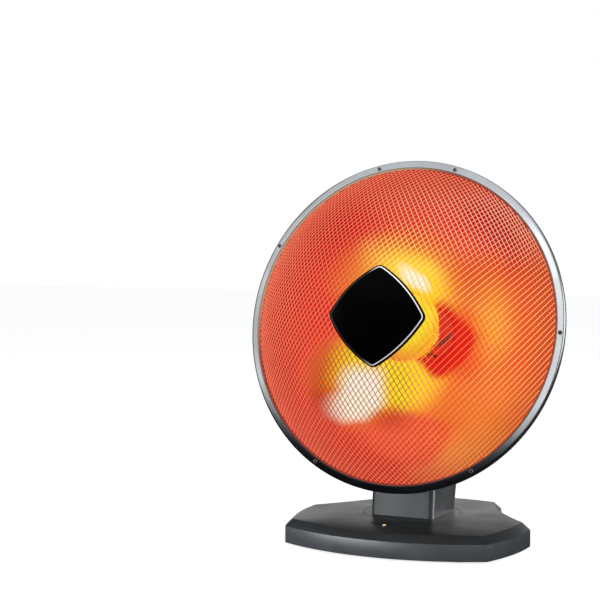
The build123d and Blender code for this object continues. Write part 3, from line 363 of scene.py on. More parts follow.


# %% [markdown]
# ## The dish's two faces
# Spun aluminium carries fine rings from the tool that pressed it onto its form. The front carries
# the element's painted reflection as glow, with the rings and faint streaks in it, and the painted
# glow dims to its rim. The back is bare metal with the same rings. The rings read the radius that
# each corner keeps, so they follow the bowl.

# %% Finish of the dish's front
def dish_painted_reflection(name, strokes, base=srgb(92, 34, 20), metallic=1):
    """Aluminium or ceramic with the element's painted reflection as glow, over a reddish base colour.
    """
    sh = Shader(name)
    polar = sh.attribute("polar")
    rings = sh.noise(sh.stretch(polar, (0.4, 40, 1)), 1, 3, 0.6)
    streaks = sh.noise(sh.stretch(polar, (55, 0.9, 1)), 1, 2, 0.5)
    light = sh.math("MULTIPLY", sh.spread(rings, 0.92, 1.06), sh.spread(streaks, 0.93, 1.07))
    # The painted glow dims toward the rim.
    painted_fade_to_rim = sh.remap(sh.parts(polar)["X"], 120, 176, 1, 0.6, smooth=True)
    surface = sh.principled(
        Base_Color=base,
        Metallic=metallic,
        Roughness=sh.spread(rings, 0.3, 0.45),
        Emission_Color=painted_light_colour(sh, sh.attribute("head"), strokes, RED),
        Emission_Strength=sh.math("MULTIPLY", light, painted_fade_to_rim),
        Normal=sh.bump(rings, 0.2, 0.0003),
    )
    return sh.finish(surface)


# The seat's front takes the same painted glow over a dark red ground.
CERAMIC_PAINTED_GLOW_GROUND = srgb(60, 20, 14)
FINISH["dish_aluminium_hot"] = dish_painted_reflection("dish_aluminium_hot", DISH_PAINTED_REFLECTION_STROKES)
FINISH["hot_ceramic"] = dish_painted_reflection("white_ceramic_hot", DISH_PAINTED_REFLECTION_STROKES + [DARK_STREAK_STROKE], CERAMIC_PAINTED_GLOW_GROUND, 0)
print("painted glow finishes:", FINISH["dish_aluminium_hot"].name, FINISH["hot_ceramic"].name)


# %% Finish of the dish's back
def spun_dish():
    """The dish's back: plain spun aluminium, with the tool's rings."""
    sh = Shader("dish_aluminium")
    rings = sh.noise(sh.stretch(sh.attribute("polar"), (0.5, 220, 1)), 1, 3, 0.6)
    cloud = sh.noise(sh.attribute("head"), 0.03, 3, 0.5)
    surface = sh.principled(
        Base_Color=sh.mix(sh.spread(cloud), srgb(196, 198, 200), srgb(186, 186, 186)),
        Metallic=1,
        Roughness=sh.spread(rings, 0.24, 0.42),
        Normal=sh.bump(rings, 0.35, 0.0003),
    )
    return sh.finish(surface)


FINISH["dish_aluminium"] = spun_dish()
print("finishes with the dish's:", len(FINISH))

# %% [markdown]
# ## Showing a piece
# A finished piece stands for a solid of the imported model: it is linked, dressed, hung on the body
# that carries it, and names the nodes that it hides. One function does this for every piece.

# %% Show a piece
def show(obj, body, *replaced, slot, finish=None):
    """Link a piece, dress it, hang it on its body and let it stand for its nodes."""
    scene.collection.objects.link(obj)
    obj.data.materials.clear()
    for each in finish or [slot]:
        obj.data.materials.append(FINISH[each])
    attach(obj, body)
    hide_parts(*replaced)
    return obj


def two_finishes(obj, takes_first):
    """Give a dressed piece's second finish to the faces that don't take its first."""
    for face in obj.data.polygons:
        face.material_index = 0 if takes_first(face) else 1


# %% [markdown]
# ## Pieces by revolving
# Dish and ring are round, so a profile turns round the dish's axis. A Screw modifier could do it
# too, but made this way each corner can also keep its place in the dish's axes, and its radius
# and height there, which the shaders read.

# %% Smooth meshes
def smooth_by_angle(mesh, angle):
    """Shade smooth, but keep the edges that turn by more than an angle."""
    mesh.shade_smooth()
    mesh.set_sharp_from_angle(angle=radians(angle))


def finished_mesh(bm, name, sharp):
    """Turn the faces outwards and make them a smooth mesh."""
    bmesh.ops.recalc_face_normals(bm, faces=bm.faces)
    mesh = bpy.data.meshes.new(name)
    bm.to_mesh(mesh)
    bm.free()
    smooth_by_angle(mesh, sharp)
    return mesh


# %% Places in the dish's axes
def keep_head_places(mesh):
    """Store each corner's place in the dish's axes, and its radius and height there."""
    head = mesh.attributes.new("head", "FLOAT_VECTOR", "POINT")
    polar = mesh.attributes.new("polar", "FLOAT_VECTOR", "POINT")
    for vertex in mesh.vertices:
        place = in_head(vertex.co)
        head.data[vertex.index].vector = place
        polar.data[vertex.index].vector = (sqrt(place.x**2 + place.y**2), place.z, 0)


# %% Turning a profile
SHARP_EDGE = 35


def revolve(name, profile, steps=192):
    """Turn a closed profile of (radius, forward) points round the dish's axis."""
    bm = bmesh.new()
    turns = [2 * pi * i / steps for i in range(steps)]
    rings = []
    for radius, forward in profile:
        spots = [head_point(radius * cos(a), radius * sin(a), forward) for a in turns]
        rings.append([bm.verts.new(spot) for spot in spots])
    for low, high in zip(rings, rings[1:] + rings[:1]):
        for i in range(steps):
            j = (i + 1) % steps
            bm.faces.new([low[i], low[j], high[j], high[i]])
    mesh = finished_mesh(bm, name, SHARP_EDGE)
    keep_head_places(mesh)
    return bpy.data.objects.new(name, mesh)


# %% [markdown]
# ## The dish
# A parabola from the flat hub to the mouth, and a flange that the ring grips. A Solidify modifier
# could thicken one curve, but it leans the sheet's edges. So the back is the front's own curve,
# moved back by the sheet's thickness.

# %% The dish
HUB_FRONT, HUB_RADIUS, HUB_BORE = -86.8, 42.0, 22
MOUTH_RADIUS, FLANGE_FRONT, FLANGE_RADIUS = 175.0, -1.8, 182.8
DISH_DEPTH, SHEET, CURVE_STEPS = 85, 1, 40
DISH_CURVE = DISH_DEPTH / (MOUTH_RADIUS**2 - HUB_RADIUS**2)


def dish_profile(shift):
    """The curve from the hub to the mouth, moved along the axis."""
    points = []
    for i in range(CURVE_STEPS + 1):
        r = HUB_RADIUS + (MOUTH_RADIUS - HUB_RADIUS) * i / CURVE_STEPS
        points.append((r, HUB_FRONT + shift + DISH_CURVE * (r**2 - HUB_RADIUS**2)))
    return points


front = [(HUB_BORE, HUB_FRONT)] + dish_profile(0) + [(FLANGE_RADIUS, FLANGE_FRONT)]
back = [(FLANGE_RADIUS, FLANGE_FRONT - SHEET)] + dish_profile(-SHEET)[::-1]
back.append((HUB_BORE, HUB_FRONT - SHEET))
dish = revolve("reflector_dish", front + back)
show(dish, "head", "reflector", slot="dish_aluminium", finish=["dish_aluminium_hot", "dish_aluminium"])
two_finishes(dish, lambda face: face.normal.dot(DISH_AXIS) > 0.02)
print("dish faces:", len(dish.data.polygons))

# %% [markdown]
# ## The guard
# The real guard is a pressed mesh of thin wires in two layers. Each wire could be swept one by
# one, but all of them follow one rule, so Geometry Nodes lay straight lines side by side over a
# disc, spread them in the middle and crowd them toward the rim, as pressing does, and bend each
# one onto the dome. The sizes are named inputs, and both layers use the same group.

# %% An empty group
def new_group(name, inputs):
    """An empty geometry group with named inputs."""
    group = bpy.data.node_groups.new(name, "GeometryNodeTree")
    group.interface.new_socket("Geometry", in_out="INPUT", socket_type="NodeSocketGeometry")
    for label, kind in inputs:
        group.interface.new_socket(label, in_out="INPUT", socket_type="NodeSocket" + kind)
    group.interface.new_socket("Geometry", in_out="OUTPUT", socket_type="NodeSocketGeometry")
    return group


# %% Geometry as nested calls
class Geometry(Tree):
    """Geometry Nodes that are built call by call, with the group's inputs in get."""

    def __init__(self, name, inputs):
        super().__init__(new_group(name, inputs))
        self.get = self.tree.nodes.new("NodeGroupInput").outputs

    def wire(self, path, sides):
        """Thicken a path to a wire, shade it smooth, and end the group."""
        size = {"Resolution": sides, "Radius": self.get["Wire radius"]}
        profile = self.add("GeometryNodeCurvePrimitiveCircle", size)
        sweep = {"Curve": path, "Profile Curve": profile, "Fill Caps": True}
        wire = self.add("GeometryNodeCurveToMesh", sweep)
        wire = self.add("GeometryNodeSetShadeSmooth", {"Geometry": wire})
        wire = self.add("GeometryNodeRealizeInstances", {"Geometry": wire})
        dressed = {"Geometry": wire, "Material": self.get["Material"]}
        self.end("NodeGroupOutput", self.add("GeometryNodeSetMaterial", dressed))
        return self.tree


# %% From a group to plain mesh
def grow(name, group, values):
    """Run a node group on an empty mesh and keep what it makes as plain mesh."""
    seed = bpy.data.objects.new(name + "_seed", bpy.data.meshes.new(name + "_seed"))
    scene.collection.objects.link(seed)
    modifier = seed.modifiers.new("grow", "NODES")
    modifier.node_group = group
    for item in group.interface.items_tree:
        if item.in_out == "INPUT" and item.name in values:
            modifier[item.identifier] = values[item.name]
    bpy.context.view_layer.update()
    evaluated = seed.evaluated_get(bpy.context.evaluated_depsgraph_get())
    mesh = bpy.data.meshes.new_from_object(evaluated)
    mesh.name = name
    bpy.data.objects.remove(seed)
    return mesh


# %% One layer of wires
POINTS_ON_WIRE, WIRE_SIDES = 44, 6


def wire_layer_group():
    """One layer of wires, in the dish's axes and metres, set by its named inputs."""
    numbers = ["Crowding", "Dome radius", "Dome level", "End radius", "Wire radius", "Direction"]
    inputs = [("Wires", "Int")] + [(n, "Float") for n in numbers] + [("Material", "Material")]
    geo = Geometry("wire_layer", inputs)
    get = geo.get

    step = geo.math("DIVIDE", 2, get["Wires"])
    first = geo.math("SUBTRACT", geo.math("MULTIPLY", step, 0.5), 1)
    start = geo.add("CombineXYZ", {0: first})
    offset = geo.add("CombineXYZ", {0: step})
    line = {"Count": get["Wires"], "Start Location": start, "Offset": offset}
    spots = geo.add("GeometryNodeMeshLine", line, mode="OFFSET")
    strand = geo.add("GeometryNodeCurvePrimitiveLine", {"Start": (0, -1, 0), "End": (0, 1, 0)})
    strand = geo.add("GeometryNodeResampleCurve", {"Curve": strand, "Count": POINTS_ON_WIRE})
    strands = geo.add("GeometryNodeInstanceOnPoints", {"Points": spots, "Instance": strand})
    strands = geo.add("GeometryNodeRealizeInstances", {"Geometry": strands})

    place = geo.parts(geo.add("GeometryNodeInputPosition"))
    across_2 = geo.math("POWER", place["X"], 2)
    run = geo.math("MULTIPLY", geo.math("SQRT", geo.math("SUBTRACT", 1, across_2)), place["Y"])
    inside = geo.math("SUBTRACT", 1, geo.math("ADD", across_2, geo.math("POWER", run, 2)))
    spread = geo.math("ADD", geo.math("MULTIPLY", inside, get["Crowding"]), 1)
    spread = geo.math("MULTIPLY", spread, get["End radius"])
    across = geo.math("MULTIPLY", place["X"], spread)
    along = geo.math("MULTIPLY", run, spread)

    radius_2 = geo.math("POWER", get["Dome radius"], 2)
    rise_2 = geo.math("SUBTRACT", radius_2, geo.math("POWER", across, 2))
    rise = geo.math("SQRT", geo.math("SUBTRACT", rise_2, geo.math("POWER", along, 2)))
    height = geo.math("ADD", rise, get["Dome level"])
    bent = geo.add("CombineXYZ", {0: across, 1: along, 2: height})
    strands = geo.add("GeometryNodeSetPosition", {"Geometry": strands, "Position": bent})
    turn = geo.add("CombineXYZ", {2: get["Direction"]})
    strands = geo.add("GeometryNodeTransform", {"Geometry": strands, "Rotation": turn})
    return geo.wire(strands, WIRE_SIDES)


# %% Finish of the wires
def guard_wire_painted_glow(name, strokes, light, dark, strength):
    """Plated wire with painted light from the glow behind it, laid on as strokes, and a random warm
    tone along it.
    """
    sh = Shader(name)
    cloud = sh.cloud(60, 2)
    surface = sh.principled(
        Base_Color=sh.mix(sh.remap(cloud, 0.35, 0.7), light, dark),
        Metallic=1,
        Roughness=sh.spread(sh.cloud(700, 2), 0.24, 0.4),
        Emission_Color=painted_light_colour(sh, sh.attribute("head"), strokes, srgb(238, 118, 90)),
        Emission_Strength=sh.spread(cloud, strength - 0.08, strength + 0.08),
    )
    return sh.finish(surface)


WIRES = [
    # name, strokes of painted light, light tint, dark tint, strength of the painted glow
    ("guard_wire", WIRE_PAINTED_LIGHT_STROKES, srgb(130, 98, 76), srgb(108, 76, 56), 1.05),
    # The inner layer is painted darker, with a weaker painted glow.
    ("guard_wire_inner", INNER_WIRE_PAINTED_LIGHT_STROKES, srgb(84, 56, 44), srgb(66, 42, 32), 0.9),
]
for row in WIRES:
    FINISH[row[0]] = guard_wire_painted_glow(*row)
print("wire finishes:", len(WIRES))

# %% The guard
WIRE_END_RADIUS, WIRE_RADIUS = 173.22, 0.38
OUTER_DOME, DOME_LEVEL, LAYER_STEP = 239.74, -167.04, 1.3
LAYERS = [
    # how many wires, how much they crowd toward the rim, dome radius, direction in degrees
    (74, 0.174, OUTER_DOME, 46.9),
    (80, 0.252, OUTER_DOME - LAYER_STEP, 119.0),
]

layer_group = wire_layer_group()
guard_mesh = bmesh.new()
layer_faces = []
for count, crowding, dome, direction in LAYERS:
    values = {
        "Wires": count,
        "Crowding": crowding,
        "Dome radius": dome / 1000,
        "Dome level": DOME_LEVEL / 1000,
        "End radius": WIRE_END_RADIUS / 1000,
        "Wire radius": WIRE_RADIUS / 1000,
        "Direction": radians(direction - 90),
        "Material": FINISH["guard_wire"],
    }
    layer = grow("guard_layer", layer_group, values)
    layer.transform(Matrix.Translation(HEAD_ORIGIN) @ HEAD_TURN.to_4x4())
    guard_mesh.from_mesh(layer)
    layer_faces.append(len(layer.polygons))
guard_data = bpy.data.meshes.new("guard_wires")
guard_mesh.to_mesh(guard_data)
guard_mesh.free()
guard_data.shade_smooth()
keep_head_places(guard_data)
guard = bpy.data.objects.new("guard_wires", guard_data)
show(guard, "head", "guard_mesh", slot="guard_wire", finish=["guard_wire", "guard_wire_inner"])
two_finishes(guard, lambda face: face.index < layer_faces[0])
print("guard faces by layer:", layer_faces)

# %% [markdown]
# ## Trim ring
# The real ring is polished sheet that slopes gently outwards and is rolled over at its outer edge.
# It is revolved from a profile with small steps where it turns, so that its reflections bend
# softly. Its lowest part is painted darker: a painted reflection of the dark base below it.

# %% Finish of the ring
def polished_ring():
    """Polished ring with faint lines round it, and a painted dark reflection toward the base."""
    sh = Shader("ring_chrome")
    polar = sh.attribute("polar")
    rings = sh.noise(sh.stretch(polar, (3, 3, 1)), 1, 3, 0.6)
    cloud = sh.cloud(30)
    # Painted reflection of the dark base: the colour darkens toward the bottom, but not on the rolled
    # edge.
    low = sh.remap(sh.parts(sh.attribute("head"))["Y"], -70, -150, 0, 1, smooth=True)
    inside_roll = sh.remap(sh.parts(polar)["X"], 183.3, 183.9, 1, 0)
    steel = sh.mix(sh.spread(cloud), srgb(204, 206, 208), srgb(190, 192, 194))
    surface = sh.principled(
        Base_Color=sh.mix(sh.math("MULTIPLY", low, inside_roll), steel, srgb(70, 74, 80)),
        Metallic=1,
        Roughness=sh.spread(cloud, 0.14, 0.24),
        Normal=sh.bump(rings, 0.08, 0.0001),
    )
    return sh.finish(surface)


FINISH["ring_chrome"] = polished_ring()
print("ring finish:", FINISH["ring_chrome"].name)


# %% Finish of the rim under the ring
def rim_steel():
    """Plated flat rim under the ring: a painted glow of the dish's light, paler to the upper left, and
    a little tarnished.
    """
    sh = Shader("rim_steel")
    cloud = sh.cloud(90)
    place = sh.parts(sh.attribute("head"))
    # Painted light: the glow is paler toward the upper left.
    painted_light_upper_left = sh.remap(sh.math("SUBTRACT", place["Y"], place["X"]), 110, 210, 0, 1, smooth=True)
    surface = sh.principled(
        Base_Color=sh.mix(sh.spread(cloud), srgb(150, 120, 104), srgb(118, 90, 76)),
        Metallic=1,
        Roughness=sh.spread(cloud, 0.3, 0.45),
        Emission_Color=sh.mix(painted_light_upper_left, srgb(150, 44, 34), srgb(238, 196, 158)),
        Emission_Strength=sh.spread(cloud, 0.4, 0.5),
    )
    return sh.finish(surface)


FINISH["rim_steel"] = rim_steel()
print("rim finish:", FINISH["rim_steel"].name)

# %% The ring
RING_STEPS = 256
inner_edge = [(175.5, -0.8), (175.5, 0.4), (175.62, 0.58), (175.9, 0.64)]
slope = [(177.4, 0.44), (179.0, 0.2), (180.6, -0.02), (182.0, -0.22), (182.9, -0.44)]
rolled_edge = [(183.5, -1.0), (183.85, -1.9), (184.0, -3.2), (184.0, -5.5), (183.8, -5.8)]
underside = [(183.3, -5.8), (183.3, -2.4), (183.0, -1.4), (182.2, -0.9), (181.2, -0.8)]
ring = revolve("trim_ring_polished", inner_edge + slope + rolled_edge + underside, RING_STEPS)
show(ring, "head", "trim_ring", slot="ring_chrome")
print("ring faces:", len(ring.data.polygons))

# %% [markdown]
# ## Moulded pieces with rounded looks
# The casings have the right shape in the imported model, but a moulded edge is never knife sharp,
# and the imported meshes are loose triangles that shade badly. So a copy is merged, its flat faces
# are joined, its edges get a small round where that shows, and it is shaded smooth.

# %% Smooth copies
MERGE_DISTANCE, FLAT_ANGLE, SMOOTH_ANGLE = 2e-6, 0.6, 28


def smooth_copy(node, body, slot, edge=0, finish=None):
    """A merged, smooth copy of a node that stands for it."""
    mesh = nodes[node].data.copy()
    mesh.name = node + "_smooth"
    bm = bmesh.new()
    bm.from_mesh(mesh)
    bmesh.ops.remove_doubles(bm, verts=bm.verts, dist=MERGE_DISTANCE)
    bmesh.ops.dissolve_limit(bm, angle_limit=radians(FLAT_ANGLE), verts=bm.verts, edges=bm.edges)
    if edge:
        limit = radians(SMOOTH_ANGLE)
        sharp = [e for e in bm.edges if e.is_manifold and e.calc_face_angle(0) > limit]
        how = {"segments": 2, "profile": 0.5, "affect": "EDGES", "clamp_overlap": True}
        bmesh.ops.bevel(bm, geom=sharp, offset=edge, **how)
    bm.to_mesh(mesh)
    bm.free()
    smooth_by_angle(mesh, SMOOTH_ANGLE)
    keep_head_places(mesh)
    obj = bpy.data.objects.new(node + "_smooth", mesh)
    return show(obj, body, node, slot=slot, finish=finish)


# %% Casings
MOULDED_EDGE = 0.0006
WALL_LEAN = 0.3

CASINGS = [
    ("base_shell", "base", MOULDED_EDGE, ["satin_black_plastic", "satin_black_wall"]),
    ("neck_shell", "neck", 0, None),
    ("neck_rear_cover", "neck", 0, None),
    ("turntable", "neck", 0, None),
    ("rear_housing", "head", MOULDED_EDGE, None),
]
for node, body, edge, finish in CASINGS:
    made = smooth_copy(node, body, "satin_black_plastic", edge, finish)
    # The base's walls take the lighter copy: painted light on them.
    if node == "base_shell":
        two_finishes(made, lambda face: abs(face.normal.z) >= WALL_LEAN)
    print(made.name, len(made.data.polygons))

# %% Pieces inside the dish
SEAT_DEPTH = 1.5

# The seat's front takes the painted glow, its back plain ceramic; the rivets take the dish's painted
# reflection.
seat = smooth_copy("element_base", "head", "white_ceramic", finish=["hot_ceramic", "white_ceramic"])
two_finishes(seat, lambda face: in_head(face.center).z > HUB_FRONT - SEAT_DEPTH)
smooth_copy("guard_rim", "head", "guard_wire", finish=["rim_steel"])
smooth_copy("hub_rivets", "head", "plated_steel", finish=["dish_aluminium_hot"])
print("seat faces:", len(seat.data.polygons))

# %% [markdown]
# ## Screws
# The real screws have a crossed recess, far too small to be worth cutting into each head. Each
# corner keeps where it is on its own screw instead, so one shader draws the recess on every head
# as painted shade, near black, whichever way the screw points.

# %% Finish of the screws
RECESS_WIDTH, RECESS_REACH = 0.15, 0.62


def screw_zinc(head_radius, colour):
    """Zinc-plated screw whose crossed recess is painted shade, near black, in its head."""
    sh = Shader("screw_zinc")
    cloud = sh.cloud(700, 2)
    place = sh.parts(sh.attribute("on_head"))
    sides = [sh.math("ABSOLUTE", place["X"]), sh.math("ABSOLUTE", place["Y"])]
    near = sh.math("LESS_THAN", sh.math("MINIMUM", *sides), head_radius * RECESS_WIDTH)
    short = sh.math("LESS_THAN", sh.math("MAXIMUM", *sides), head_radius * RECESS_REACH)
    front = sh.math("GREATER_THAN", place["Z"], 0)
    # Painted shade: the cross is drawn near black where the recess is.
    cross = sh.math("MULTIPLY", sh.math("MULTIPLY", near, short), front)
    zinc = sh.mix(sh.spread(cloud), colour, srgb(150, 146, 132))
    surface = sh.principled(
        Base_Color=sh.mix(cross, zinc, srgb(12, 12, 13)),
        Metallic=1,
        Roughness=sh.spread(cloud, 0.2, 0.34),
        Normal=sh.bump(sh.math("SUBTRACT", 1, cross), 0.6, 0.0006),
    )
    return sh.finish(surface)


# %% Corners that hang together
def islands(bm):
    """The groups of corners that hang together: one group for each screw."""
    seen = set()
    for start in bm.verts:
        if start in seen:
            continue
        island, queue = {start}, [start]
        while queue:
            for edge in queue.pop().link_edges:
                for vertex in edge.verts:
                    if vertex not in island:
                        island.add(vertex)
                        queue.append(vertex)
        seen |= island
        yield island


# %% Places on each screw
# The recess is drawn on what lies within this many metres of the head's top.
RECESS_DEPTH = 0.0012


def keep_screw_places(obj, axis):
    """Store each corner's place on its own screw: across, up and along, in millimetres."""
    side = axis.orthogonal().normalized()
    rise = axis.cross(side)
    bm = bmesh.new()
    bm.from_mesh(obj.data)
    places = [None] * len(bm.verts)
    for island in islands(bm):
        spots = [(v.co.dot(side), v.co.dot(rise), v.co.dot(axis)) for v in island]
        low = [min(s[i] for s in spots) for i in range(3)]
        high = [max(s[i] for s in spots) for i in range(3)]
        middle = ((low[0] + high[0]) / 2, (low[1] + high[1]) / 2, high[2] - RECESS_DEPTH)
        for vertex, spot in zip(island, spots):
            places[vertex.index] = [(spot[i] - middle[i]) * 1000 for i in range(3)]
    bm.free()
    kept = obj.data.attributes.new("on_head", "FLOAT_VECTOR", "POINT")
    for index, place in enumerate(places):
        kept.data[index].vector = place


# %% The screws
ZINC = srgb(190, 188, 180)
BACKWARD, DOWN = Vector((0, 1, 0)), Vector((0, 0, -1))
SCREWS = [
    # node, body, which way the head faces, head radius in millimetres, colour
    ("ring_screws", "head", DISH_AXIS, 2.4, srgb(150, 152, 154)),
    ("housing_screws", "head", -DISH_AXIS, 3.0, ZINC),
    ("neck_cover_screws", "neck", BACKWARD, 3.0, ZINC),
    ("foot_screws", "neck", DOWN, 3.4, ZINC),
    ("base_screws", "base", DOWN, 3.2, ZINC),
]
for node, body, way, head_radius, colour in SCREWS:
    FINISH[node] = screw_zinc(head_radius, colour)
    screw = smooth_copy(node, body, "plated_steel", finish=[node])
    keep_screw_places(screw, way)
print("groups of screws:", len(SCREWS))

# %% [markdown]
# ## Badge
# A gloss black plate with a bright line let into its face, and nothing printed on it. The solids
# have the right shape, so smooth copies with finishes of their own are enough. The line's
# brightness is a painted highlight: bright on its right side only, and dark on its left.

# %% Finish of the plate
def deep_gloss():
    """Printed black under a thin clear coat: almost nothing comes back but a faint sheen."""
    sh = Shader("gloss_black")
    dust = sh.remap(sh.cloud(600, 2, 0.7), 0.66, 0.8, 0, 0.05)
    surface = sh.principled(
        Base_Color=sh.mix(dust, srgb(3, 3, 4), srgb(90, 90, 92)),
        Roughness=sh.spread(sh.cloud(26), 0.16, 0.24),
        Specular_IOR_Level=0.03,
    )
    return sh.finish(surface)


# %% Finish of the line
def inlay_painted_highlight():
    """Line with a painted highlight: bright and glowing on its right side, dark on its left."""
    sh = Shader("bright_line")
    # Painted highlight: it brightens from left to right and glows where bright.
    lit = sh.remap(sh.parts(sh.attribute("head"))["X"], -14, 4, 0.03, 1, smooth=True)
    surface = sh.principled(
        Base_Color=sh.mix(lit, srgb(16, 16, 18), srgb(238, 236, 240)),
        Metallic=1,
        Roughness=sh.spread(sh.cloud(120, 2), 0.2, 0.32),
        Emission_Color=srgb(246, 242, 246),
        Emission_Strength=sh.math("MULTIPLY", lit, 0.55),
    )
    return sh.finish(surface)


# %% The badge
FINISH["gloss_black"] = deep_gloss()
FINISH["bright_line"] = inlay_painted_highlight()
plate = smooth_copy("badge_plate", "head", "gloss_black")
inlay = smooth_copy("badge_inlay", "head", "bright_line")
print("badge faces:", len(plate.data.polygons), len(inlay.data.polygons))

# %% [markdown]
# ## Cap in front of the element
# The real cap is bright metal, lit from behind and below by the element, and looks yellow. That
# light is painted: one pale stroke over an orange ground, laid on as glow.

# %% Cap
CAP_PAINTED_LIGHT_STROKE = (6, 6, 44, 44, 0, 0.5, 2, srgb(254, 226, 50))


def cap_painted_glow():
    """Bright metal with the element's yellow light painted on as glow."""
    sh = Shader("cap_metal")
    cloud = sh.cloud(200)
    surface = sh.principled(
        Base_Color=srgb(120, 90, 50),
        Metallic=1,
        Roughness=sh.spread(cloud, 0.3, 0.45),
        Emission_Color=painted_light_colour(sh, sh.attribute("head"), [CAP_PAINTED_LIGHT_STROKE], srgb(246, 160, 40)),
        Emission_Strength=sh.spread(cloud, 0.85, 0.98),
    )
    return sh.finish(surface)


FINISH["cap_metal"] = cap_painted_glow()
cap = smooth_copy("front_cap", "head", "cap_metal")
print("cap faces:", len(cap.data.polygons))

# %% [markdown]
# ## Control knob
# A ribbed cap with a pale pointer line, as on any rotary switch. Its side is a ring of points
# whose radius waves with the ribs, which stays light. The pointer is paint, so the shader draws it.

# %% Finish of the knob
POINTER_HALF_WIDTH, POINTER_START, FACE_LEVEL = 0.45, 1.5, -0.4


def knob_plastic():
    """Black knob; the pointer is a pale line from its middle to its rim."""
    sh = Shader("knob_plastic")
    place = sh.parts(sh.attribute("on_knob"))
    narrow = sh.math("LESS_THAN", sh.math("ABSOLUTE", place["X"]), POINTER_HALF_WIDTH)
    outward = sh.math("GREATER_THAN", place["Z"], POINTER_START)
    face = sh.math("GREATER_THAN", place["Y"], FACE_LEVEL)
    pointer = sh.math("MULTIPLY", sh.math("MULTIPLY", narrow, outward), face)
    cloud = sh.cloud(300)
    black = sh.mix(cloud, srgb(28, 29, 31), srgb(38, 39, 41))
    surface = sh.principled(
        Base_Color=sh.mix(pointer, black, srgb(225, 225, 220)),
        Roughness=sh.spread(cloud, 0.32, 0.46),
        Normal=sh.bump(sh.cloud(1500, 2, 0.6), 0.2, 0.0002),
    )
    return sh.finish(surface)


FINISH["knob_plastic"] = knob_plastic()

# %% Rows of points on the knob
# From the wall to the middle of the face: share of the radius, distance from the face in metres,
# and how much of the ribs shows. None stands for the knob's whole depth.
KNOB_ROWS = [
    (1.0, None, 1),
    (1.0, 0.0009, 1),
    (0.985, 0.0004, 0.6),
    (0.95, 0.0001, 0.2),
    (0.9, 0, 0),
    (0.82, 0, 0),
    (0.8, 0.0003, 0),
    (0.3, 0.0003, 0),
]
print("rows:", len(KNOB_ROWS))

# %% Shape of the knob
RIBS, RIB_DEPTH = 20, 0.00045
KNOB_STEPS, KNOB_SHARP_EDGE = 160, 40


def ribbed_knob(name):
    """A cap in the knob's box, its side ribbed and its outer edge rounded."""
    low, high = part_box("control_knob")
    middle = Vector(((low[0] + high[0]) / 2, high[1], (low[2] + high[2]) / 2))
    radius, depth = (high[0] - low[0]) / 2, high[1] - low[1]
    turns = [2 * pi * i / KNOB_STEPS for i in range(KNOB_STEPS)]
    bm = bmesh.new()
    rings = []
    for share, back, rib in KNOB_ROWS:
        back = depth if back is None else back
        ring_points = []
        for a in turns:
            groove = RIB_DEPTH * (0.5 - 0.5 * cos(RIBS * a)) ** 2 * rib
            r = radius * share - groove
            ring_points.append(bm.verts.new(middle + Vector((r * cos(a), -back, r * sin(a)))))
        rings.append(ring_points)
    for first, second in zip(rings, rings[1:]):
        for i in range(KNOB_STEPS):
            j = (i + 1) % KNOB_STEPS
            bm.faces.new([first[i], first[j], second[j], second[i]])
    bm.faces.new(rings[0])
    bm.faces.new(rings[-1])
    mesh = finished_mesh(bm, name, KNOB_SHARP_EDGE)
    places = mesh.attributes.new("on_knob", "FLOAT_VECTOR", "POINT")
    for vertex in mesh.vertices:
        places.data[vertex.index].vector = (vertex.co - middle) * 1000
    return bpy.data.objects.new(name, mesh)


# %% The knob
knob = ribbed_knob("ribbed_knob")
show(knob, "control_knob", "control_knob", slot="satin_black_plastic", finish=["knob_plastic"])
print("knob faces:", len(knob.data.polygons))

# %% [markdown]
# ## Heating coil
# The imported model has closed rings, which are enough for its weight. The real wire is one winding.
# A Screw modifier could make it, but a spiral node can share the wire steps of the guard's group.

# %% Finish of the coil
def hot_wire():
    """Resistance wire that glows orange, a little unevenly."""
    sh = Shader("coil_wire")
    cloud = sh.cloud(90, 2)
    surface = sh.principled(
        Base_Color=srgb(90, 60, 50),
        Metallic=1,
        Roughness=sh.remap(cloud, 0, 1, 0.3, 0.6),
        Emission_Color=sh.mix(sh.remap(cloud, 0.35, 0.65), srgb(255, 170, 60), srgb(255, 110, 30)),
        Emission_Strength=2.5,
    )
    return sh.finish(surface)


FINISH["coil_wire"] = hot_wire()
print("coil finish:", FINISH["coil_wire"].name)

# %% Winding of the coil
TURN_STEPS, COIL_WIRE_SIDES = 40, 10


def coil_group():
    """The element's wire as one winding, in the dish's axes and metres."""
    numbers = ["Coil radius", "Coil length", "Turns", "Wire radius"]
    geo = Geometry("coil", [(n, "Float") for n in numbers] + [("Material", "Material")])
    get = geo.get
    winding = {"Resolution": TURN_STEPS, "Rotations": get["Turns"], "Height": get["Coil length"]}
    winding.update({"Start Radius": get["Coil radius"], "End Radius": get["Coil radius"]})
    return geo.wire(geo.add("GeometryNodeCurveSpiral", winding), COIL_WIRE_SIDES)


# %% The coil
COIL_FIRST, COIL_PITCH, COIL_TURNS = -69.8, 4.4, 11
COIL_RADIUS, COIL_WIRE_RADIUS = 16.75, 1.35

coil_values = {
    "Coil radius": COIL_RADIUS / 1000,
    "Coil length": (COIL_TURNS - 1) * COIL_PITCH / 1000,
    "Turns": float(COIL_TURNS - 1),
    "Wire radius": COIL_WIRE_RADIUS / 1000,
    "Material": FINISH["coil_wire"],
}
coil_data = grow("coil_winding", coil_group(), coil_values)
coil_data.transform(Matrix.Translation(head_point(0, 0, COIL_FIRST)) @ HEAD_TURN.to_4x4())
coil = bpy.data.objects.new("coil_winding", coil_data)
show(coil, "head", "heating_coil", slot="coil_wire")

# %% [markdown]
# ## Indicator lens
# A small amber lens with a lamp under its middle. A second lamp inside would cost samples, so the
# shader lights the lens by how far each spot is from its middle.

# %% Indicator lens
LIT_RADIUS, DARK_RADIUS = 0.0015, 0.0022


